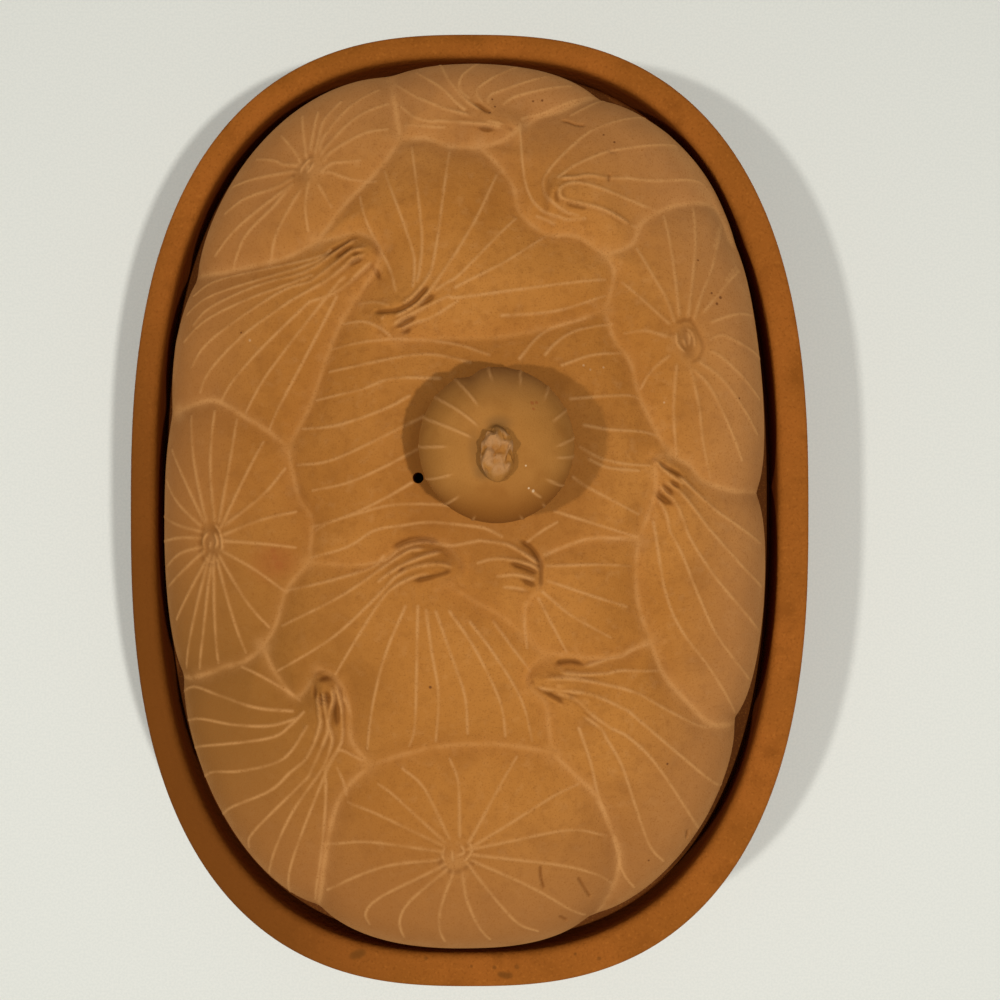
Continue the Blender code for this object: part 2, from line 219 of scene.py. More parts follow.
# Blots in its clay, as blotched() takes them. Then dark spots on the rim's near end: across,
# along, and half width.
DISH_BLOTS = (
    (26.0, 3.0, 0.35, 0.68, 1.0, DISH_WARM), (75.0, 3.0, 0.50, 0.78, 0.55, DISH_DARK),
    (1050.0, 2.0, 0.50, 0.75, 0.55, DISH_DARK), (760.0, 2.0, 0.52, 0.78, 0.50, DISH_FLECK),
)
DISH_SPOTS = (
    (-0.0468, -0.1782, 0.0014), (-0.0455, -0.1778, 0.0017), (-0.0441, -0.1774, 0.0017),
    (-0.0428, -0.1770, 0.0014), (-0.0175, -0.1794, 0.0008), (0.0007, -0.1824, 0.0006),
    (0.0100, -0.1828, 0.0008), (0.0190, -0.1826, 0.0009), (0.0122, -0.1855, 0.0010),
    (0.0134, -0.1858, 0.0013), (0.0147, -0.1861, 0.0014), (0.0161, -0.1860, 0.0012),
    (0.0423, -0.1775, 0.0006), (0.0519, -0.1792, 0.0008),
)

dish_low, dish_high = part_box("dish")
lid_low, lid_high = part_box("lid")
dish_height = dish_high.z
dish_half = np.array([dish_high.x - dish_low.x, dish_high.y - dish_low.y]) / 2
mouth_shift = np.array([lid_low.x + lid_high.x, lid_low.y + lid_high.y]) / 2


def oval(half, turn, power=OVAL_POWER):
    """Points at these angles round the rounded oval with these half sizes."""
    across = np.stack([np.cos(turn), np.sin(turn)], axis=-1)
    reach = np.sum(np.abs(across) ** power, axis=-1) ** (1 / power)
    return across / reach[..., None] * half


def start_ring(name, count, half, level, middle=(0.0, 0.0), power=OVAL_POWER):
    """A new object in edit mode that is one ring of points round an oval."""
    bpy.ops.mesh.primitive_circle_add(vertices=count, radius=1.0, fill_type="NOTHING")
    thing = bpy.context.object
    thing.name = name
    bpy.ops.object.mode_set(mode="EDIT")
    mesh = bmesh.from_edit_mesh(thing.data)
    turns = mesh.verts.layers.float.new("turn")
    for point in mesh.verts:
        point[turns] = math.atan2(point.co.y, point.co.x)
    set_ring(thing, half, level, middle, power)
    return thing


def set_ring(thing, half, level, middle=(0.0, 0.0), power=OVAL_POWER):
    """Set the selected ring of points on an oval at a level."""
    mesh = bmesh.from_edit_mesh(thing.data)
    turns = mesh.verts.layers.float["turn"]
    ring = [point for point in mesh.verts if point.select]
    places = oval(half, np.array([point[turns] for point in ring]), power) + np.array(middle)
    for point, place in zip(ring, places):
        point.co = (place[0], place[1], level)
    bmesh.update_edit_mesh(thing.data)


def pull_ring(thing, half, level, middle=(0.0, 0.0), power=OVAL_POWER):
    """Extrude the selected ring of edges to an oval at a level."""
    bpy.ops.mesh.extrude_edges_move()
    set_ring(thing, half, level, middle, power)


def shares(count):
    """Equal steps up to 1, without 0."""
    return [(step + 1) / count for step in range(count)]


def arc(count):
    """Angles that divide a quarter turn, without the first."""
    return [share * math.pi / 2 for share in shares(count)]


def close_up():
    """Fill the last ring of a piece, turn its faces outwards and leave edit mode."""
    bpy.ops.mesh.edge_face_add()
    bpy.ops.mesh.select_all(action="SELECT")
    bpy.ops.mesh.normals_make_consistent(inside=False)
    bpy.ops.object.mode_set(mode="OBJECT")


def wall_inset(level):
    """How far the outer wall stands inside the rim's edge, without the collar."""
    return COLLAR_FLARE + WALL_LEAN * (1 - level / (dish_height - COLLAR_HEIGHT))


dish = start_ring("baking_dish", DISH_POINTS, dish_half - wall_inset(0) - FOOT_INSET, 0.0)
bpy.ops.mesh.edge_face_add()
for angle in arc(10):
    level = FOOT_ROUND * (1 - math.cos(angle))
    pull_ring(dish, dish_half - wall_inset(level) - FOOT_INSET * (1 - math.sin(angle)), level)
collar_foot = dish_height - RIM_BAND - COLLAR_HEIGHT
for share in shares(3):
    level = FOOT_ROUND + (collar_foot - FOOT_ROUND) * share
    pull_ring(dish, dish_half - wall_inset(level), level)
for share in shares(14):
    level = collar_foot + COLLAR_HEIGHT * share
    pull_ring(dish, dish_half - wall_inset(level) * (1 - share * share * (3 - 2 * share)), level)
pull_ring(dish, dish_half, dish_height - RIM_CROWN - RIM_OUTER_ROUND)
for angle in arc(6):
    level = dish_height - RIM_CROWN - RIM_OUTER_ROUND * (1 - math.sin(angle))
    pull_ring(dish, dish_half - RIM_OUTER_ROUND * (1 - math.cos(angle)), level)
rim_flat = RIM_WIDTH - RIM_OUTER_ROUND - RIM_INNER_ROUND
for share in shares(6):
    level = dish_height - RIM_CROWN * (2 * share - 1) ** 2
    pull_ring(dish, dish_half - RIM_OUTER_ROUND - rim_flat * share, level, mouth_shift * share)
rim_turn = dish_height - RIM_CROWN - RIM_INNER_ROUND
for angle in arc(8):
    inset = RIM_WIDTH - RIM_INNER_ROUND * (1 - math.sin(angle))
    pull_ring(dish, dish_half - inset, rim_turn + RIM_INNER_ROUND * math.cos(angle), mouth_shift)
gallery_level = dish_height - GALLERY_DEPTH
for share in shares(4)[:-1]:
    level = rim_turn - (rim_turn - gallery_level) * share
    pull_ring(dish, dish_half - RIM_WIDTH, level, mouth_shift)
pull_ring(dish, dish_half - RIM_WIDTH, gallery_level + LEDGE_ROUND, mouth_shift)
pull_ring(dish, dish_half - RIM_WIDTH - LEDGE_ROUND, gallery_level, mouth_shift)
ledge = RIM_WIDTH + GALLERY_WIDTH
pull_ring(dish, dish_half - ledge + LEDGE_ROUND, gallery_level, mouth_shift)
pull_ring(dish, dish_half - ledge, gallery_level - LEDGE_ROUND, mouth_shift)
inner_foot = DISH_FLOOR + FLOOR_ROUND
for share in shares(4):
    level = gallery_level - LEDGE_ROUND + (inner_foot - gallery_level + LEDGE_ROUND) * share
    inset = ledge + (DISH_WALL + wall_inset(inner_foot) - ledge) * share
    pull_ring(dish, dish_half - inset, level, mouth_shift * (1 - share / 2))
for angle in arc(10):
    inset = DISH_WALL + wall_inset(DISH_FLOOR) + FLOOR_ROUND * (1 - math.cos(angle))
    level = inner_foot - FLOOR_ROUND * math.sin(angle)
    pull_ring(dish, dish_half - inset, level, mouth_shift / 2 * (1 - math.sin(angle)))
close_up()
bpy.ops.object.shade_smooth_by_angle(angle=math.radians(DISH_SMOOTH))


def spot(thing, tree, colour, place, half, tint, strength, soft=0.35):
    """Tint a colour in a soft round spot on the upper side of a piece."""
    top = thing.ray_cast((*place, 1.0), (0.0, 0.0, -1.0))[1]
    where = tree.nodes.new("ShaderNodeTexCoord")
    away = tree.nodes.new("ShaderNodeVectorMath")
    away.operation = "DISTANCE"
    away.inputs[1].default_value = top
    tree.links.new(where.outputs["Object"], away.inputs[0])
    share = between(tree, away.outputs["Value"], half * (1 - soft), half * (1 + soft), strength, 0.0)
    return blend(tree, share, colour, tint)


def toward(tree, direction):
    """How far each place lies in a direction."""
    where = tree.nodes.new("ShaderNodeTexCoord")
    along = tree.nodes.new("ShaderNodeVectorMath")
    along.operation = "DOT_PRODUCT"
    along.inputs[1].default_value = (*direction, 0)
    tree.links.new(where.outputs["Object"], along.inputs[0])
    return along.outputs["Value"]


def points_of(thing):
    """Where the points of a piece are."""
    points = np.zeros(len(thing.data.vertices) * 3, np.float32)
    thing.data.vertices.foreach_get("co", points)
    return points.reshape(-1, 3)


def mark(thing, name, values):
    """Store one value for each point of a piece."""
    thing.data.attributes.new(name, "FLOAT", "POINT").data.foreach_set("value", values.astype(np.float32))


def marked(tree, name):
    """A value stored on the points."""
    entry = tree.nodes.new("ShaderNodeAttribute")
    entry.attribute_name = name
    return entry.outputs["Fac"]


def tinted(tree, colour, value, low, high, strength, tint):
    """Tint a colour, up to a strength, where a value goes from one level to another."""
    return blend(tree, between(tree, value, low, high, 0.0, strength), colour, tint)


def blotched(tree, colour, blots):
    """Tint a colour with blots: how many to the metre, detail, two levels, strength and tint."""
    for scale, detail, *levels in blots:
        colour = tinted(tree, colour, mottle(tree, scale, detail), *levels)
    return colour


points = points_of(dish)
reach = np.sum(np.abs(points[:, :2] / (dish_half - RIM_WIDTH / 2)) ** OVAL_POWER, axis=1)
# Painted shade in the gap round the lid: the rim's inner wall below its rounding, and the gallery, are
# darkened.
gap_shade_share = np.clip((rim_turn - points[:, 2]) / GAP_SHADE_FADE + 0.5, 0, 1) * (reach < 1)
mark(dish, "ledge", gap_shade_share * (points[:, 2] > gallery_level - GAP_SHADE_LIP))

dish_finish, tree, shader = new_finish("dish_clay", roughness=0.70, shine=0.02)
colour = blotched(tree, DISH_CLAY, DISH_BLOTS)
# Painted shade, with some darker clay: the dish darkens towards its left and lower left.
colour = tinted(tree, colour, toward(tree, DISH_SHADED_SIDE), 0.45, 1.0, 0.85, DISH_SHADE)
# Painted shade on the inner wall and the gallery, in the gap round the lid.
colour = blend(tree, marked(tree, "ledge"), colour, DISH_GAP_SHADE)
for east, north, half in DISH_SPOTS:
    colour = spot(dish, tree, colour, (east, north), half, DISH_SPOT, strength=0.6, soft=0.5)
tree.links.new(colour, shader.inputs["Base Color"])
fine = between(tree, mottle(tree, 420.0, 4.0), 0.30, 0.72)
roughen(tree, shader, fine, depth=0.0004, strength=0.30)
dish.data.materials.append(dish_finish)
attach(dish, "dish")
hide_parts("dish")


# The lid is one shell of terracotta, pressed in a mould as a heap of onions on a plain flange
# that rests in the gallery. Millimetres from the lid's middle, until its mesh is made.
MM = 0.001
SEAT_GAP = 0.3
FLANGE_HEIGHT = 8.5
FLANGE_ROUND = 1.5
SEAT_WIDTH = 12.5
LID_WALL = 8.0
HEAP_STEP = 4.5
HEAP_POWER = 2.45
BELLY_HEIGHT = 8.5
HEAP_UNDERCUT = 1.0
FOOT_BAND = 2.5
SHOULDER_REACH = 16.0
SHOULDER_RISE = 14.0
DOME_RISE = 21.5
DOME_POWER = 2.3
ONION_RISE = 7.5
ONION_SPREAD = 15.0
VALLEY_DEPTH = 1.0
VALLEY_SPREAD = 3.5
NOTCH_DEPTH = 2.8
NOTCH_SPREAD = 9.0
NOTCH_EAST = 90.0
NOTCH_LEAST = 0.3
FULL_TURN = 39.0
FULL_SPREAD = 13.5
FULL_BULGE = 5.2
NECK_RISE = 4.0
NECK_END = 2.4
SWELL_STEP = 1.0
CREASE_STEP = 4.0
FAR_AWAY = 1e3
TINY = 1e-9
LINE_REACH = 2.6
SURFACE_STEP = 0.42
SHOULDER_SHARE = 0.20
LID_TRIANGLES = 150000

flange_half = np.array([lid_high.x - lid_low.x, lid_high.y - lid_low.y]) / 2 / MM
heap_half = flange_half - HEAP_STEP
hollow_half = flange_half - SEAT_WIDTH
seat_level = lid_low.z / MM
flange_top = seat_level + FLANGE_HEIGHT
heap_level = flange_top + BELLY_HEIGHT

# Where two onions meet. Each crease is a shallow valley with a raised pale seam in it.
CREASES = (
    ((-29, 165.5), (-26.5, 151.5), (-24.5, 139)),
    ((-24.5, 139), (-32.5, 127), (-45, 113.5), (-51.5, 104.5), (-56, 99)),
    ((-56, 99), (-67.5, 93.5), (-83.5, 90.5), (-95, 89), (-108, 89.5)),
    ((-24.5, 139), (-14.5, 139.5), (-5.5, 136), (6, 135.5)),
    ((6, 135.5), (15.5, 138.5), (20, 142), (27, 147.5), (38.5, 152), (54.5, 162)),
    ((6, 135.5), (13.5, 127.5), (18.5, 119.5), (21, 109.5), (31, 101.5), (41.5, 101), (53, 94)),
    ((53, 94), (56, 88.5), (55, 80.5), (52.5, 73)),
    ((52.5, 73), (35.5, 67), (13.5, 62.5), (-9, 62), (-23.5, 61)),
    ((53, 94), (63, 98.5), (67, 107), (76, 113), (86.5, 116), (97.5, 115.5), (103, 103)),
    ((52.5, 73), (56, 62), (62, 53.5), (65.5, 40.5), (71.5, 28.5), (76.5, 19)),
    ((76.5, 19), (85, 15), (89.5, 10), (101, 6), (118, 5)),
    ((-56, 99), (-48.5, 100.5), (-40, 102), (-33, 98), (-31.5, 91), (-40.5, 76.5)),
    ((-111.5, 36), (-105.5, 38), (-95, 40), (-84.5, 34.5), (-73.5, 28), (-65.5, 22)),
    ((-40.5, 76.5), (-46, 67.5), (-50, 58), (-53.5, 47.5), (-57, 37.5), (-61.5, 29), (-65.5, 22)),
    ((-65.5, 22), (-64, 13.5), (-61, 2), (-56.5, -5), (-57.5, -21)),
    ((-57.5, -21), (-65, -29.5), (-67.5, -34.5), (-70.5, -44.5), (-75.5, -53)),
    ((-75.5, -53), (-82, -58), (-91.5, -61.5), (-104, -66), (-113, -67.5)),
    ((-57.5, -21), (-42, -22), (-31.5, -20), (-24, -15.5), (-14, -12), (-5, -15.5), (-0.5, -23.5),
    (-6.5, -28.5)), ((-6.5, -28.5), (4, -35), (13, -40), (22, -47.5), (27, -53), (30, -55)),
    ((28.5, -25.5), (29, -18.5), (39, -14.5), (50.5, -12), (65, -12.5)),
    ((65, -12.5), (64, -24), (65, -37), (69.5, -50)),
    ((69.5, -50), (59, -55), (47, -56.5), (37.5, -55), (30, -55)),
    ((30, -55), (23.5, -46.5), (22, -37), (27, -31.5), (28.5, -25.5)),
    ((76.5, 19), (71, 17), (71.5, 6), (68.5, -3.5), (65, -12.5)),
    ((-75.5, -53), (-71, -62.5), (-63, -71.5), (-56.5, -65), (-53.5, -60.5), (-46, -65.5), (-43, -74.5),
     (-42, -87.5), (-35, -97)),
    ((-35, -97), (-24, -93), (-9.5, -89.5), (7.5, -88.5), (20, -89.5), (33, -92)),
    ((30, -55), (24.5, -60), (24, -66), (30, -72.5), (31.5, -81.5), (33, -92)),
    ((33, -92), (41.5, -101), (49, -108.5), (54.5, -120.5), (59, -133.5), (56.5, -147), (49, -164.5)),
    ((-35, -97), (-42, -103.5), (-47.5, -111.5), (-51, -122.5), (-53.5, -135.5), (-55.5, -148),
    (-58.5, -159.5)), ((69.5, -50), (75, -63.5), (85.5, -75.5), (94.5, -83.5), (109, -85.5)),
)


class Sheet:
    """A map of the heap seen from above, with a value for each small square of it."""

    def __init__(self, cell):
        self.cell = cell
        self.reach = np.ceil(heap_half / cell).astype(int) + 3
        self.values = np.zeros((2 * self.reach[1] + 1, 2 * self.reach[0] + 1))

    def places(self, columns, rows):
        """Where these columns and rows of squares lie."""
        return np.meshgrid((columns - self.reach[0]) * self.cell, (rows - self.reach[1]) * self.cell)

    def everywhere(self):
        """Where all the squares lie."""
        return self.places(np.arange(self.values.shape[1]), np.arange(self.values.shape[0]))

    def raise_line(self, path, rises, halves, fades=(0.0, 0.0)):
        """Raise a rounded line along a path, which fades out over these lengths at its ends.

        Its rise and its half width go from the first value to the second.
        """
        steps = smooth(path)
        lengths = np.linalg.norm(np.diff(steps, axis=0), axis=1)
        passed = np.concatenate([[0], np.cumsum(lengths)])
        widest = LINE_REACH * max(halves)
        for number, (start, end) in enumerate(zip(steps, steps[1:])):
            low = np.floor((np.minimum(start, end) - widest) / self.cell).astype(int) + self.reach
            high = np.ceil((np.maximum(start, end) + widest) / self.cell).astype(int) + self.reach
            low = np.clip(low, 0, 2 * self.reach)
            high = np.clip(high, low, 2 * self.reach)
            east, north = self.places(np.arange(low[0], high[0] + 1), np.arange(low[1], high[1] + 1))
            along, away = beside(east, north, start, end)
            gone = passed[number] + along * lengths[number]
            share = gone / passed[-1]
            full = np.ones(share.shape)
            for fade, left in zip(fades, (gone, passed[-1] - gone)):
                if fade > 0:
                    full = np.minimum(full, np.clip(left / fade, 0, 1))
            half = (halves[0] + (halves[1] - halves[0]) * share) * (0.5 + 0.5 * full)
            line = (rises[0] + (rises[1] - rises[0]) * share) * full * np.exp(-(away / half) ** 2)
            window = self.values[low[1]:high[1] + 1, low[0]:high[0] + 1]
            np.maximum(window, line, out=window)

    def soften(self, passes):
        """Even out neighbouring squares."""
        for _ in range(passes):
            for axis in (0, 1):
                before, after = np.roll(self.values, 1, axis), np.roll(self.values, -1, axis)
                self.values = (before + 2 * self.values + after) / 4

    def read(self, places):
        """Values at any places, between the squares too."""
        where = places / self.cell + self.reach
        corner = np.clip(np.floor(where).astype(int), 0, 2 * self.reach - 1)
        part = np.clip(where - corner, 0, 1)
        found = 0.0
        for across in (0, 1):
            for up in (0, 1):
                weight = part[:, 0] if across else 1 - part[:, 0]
                weight = weight * (part[:, 1] if up else 1 - part[:, 1])
                found = found + weight * self.values[corner[:, 1] + up, corner[:, 0] + across]
        return found


def smooth(path, step=2.0):
    """Points at small steps along a smooth curve through a path."""
    path = np.array(path, float)
    padded = np.concatenate([2 * path[:1] - path[1:2], path, 2 * path[-1:] - path[-2:-1]])
    places = []
    for before, start, end, after in zip(padded, padded[1:], padded[2:], padded[3:]):
        count = max(2, math.ceil(np.linalg.norm(end - start) / step))
        share = (np.arange(count) / count)[:, None]
        bend = 2 * before - 5 * start + 4 * end - after
        twist = 3 * start - before - 3 * end + after
        places.append(start + ((end - before) * share + bend * share ** 2 + twist * share ** 3) / 2)
    return np.concatenate(places + [path[-1:]])


def beside(east, north, start, end):
    """Share of the way along a short run, and distance from it."""
    run = end - start
    along = ((east - start[0]) * run[0] + (north - start[1]) * run[1]) / (run @ run)
    along = np.clip(along, 0, 1)
    return along, np.hypot(east - start[0] - along * run[0], north - start[1] - along * run[1])


crease_away = Sheet(SWELL_STEP)
east, north = crease_away.everywhere()
crease_away.values = np.full(east.shape, FAR_AWAY)
for crease in CREASES:
    steps = smooth(crease, CREASE_STEP)
    for start, end in zip(steps, steps[1:]):
        crease_away.values = np.minimum(crease_away.values, beside(east, north, start, end)[1])
swell = Sheet(SWELL_STEP)
swell.values = (ONION_RISE * (1 - np.exp(-crease_away.values / ONION_SPREAD))
                - VALLEY_DEPTH * np.exp(-crease_away.values / VALLEY_SPREAD))

# Necks of onions that lie over their neighbours: base, tip, and half width at each.
NECKS = (
    ((-3.5, 150), (20.5, 142), 8, 5),
    ((60, 112.5), (33, 115.5), 9, 7),
    ((-6.5, 79.5), (-28.5, 66), 7, 7),
    ((-54, 86.5), (-33.5, 94.5), 7, 6),
    ((-12, -18.5), (28.5, -25), 10, 8),
    ((-27.5, -22), (-2, -22), 7, 6),
    ((-55, -92.5), (-51, -65), 8, 6),
    ((54.5, -71.5), (25.5, -65), 11, 5),
    ((86, 0.5), (71.5, 16), 9, 6),
)
for base, tip, base_half, tip_half in NECKS:
    base, tip = np.array(base), np.array(tip)
    along, away = beside(east, north, base, tip)
    half = base_half + (tip_half - base_half) * along
    run = (tip - base) / np.linalg.norm(tip - base)
    past = np.clip((east - tip[0]) * run[0] + (north - tip[1]) * run[1], 0, None) / NECK_END
    swell.values = swell.values + NECK_RISE * along * np.exp(-(away / half) ** 2 - past ** 2)
swell.soften(1)

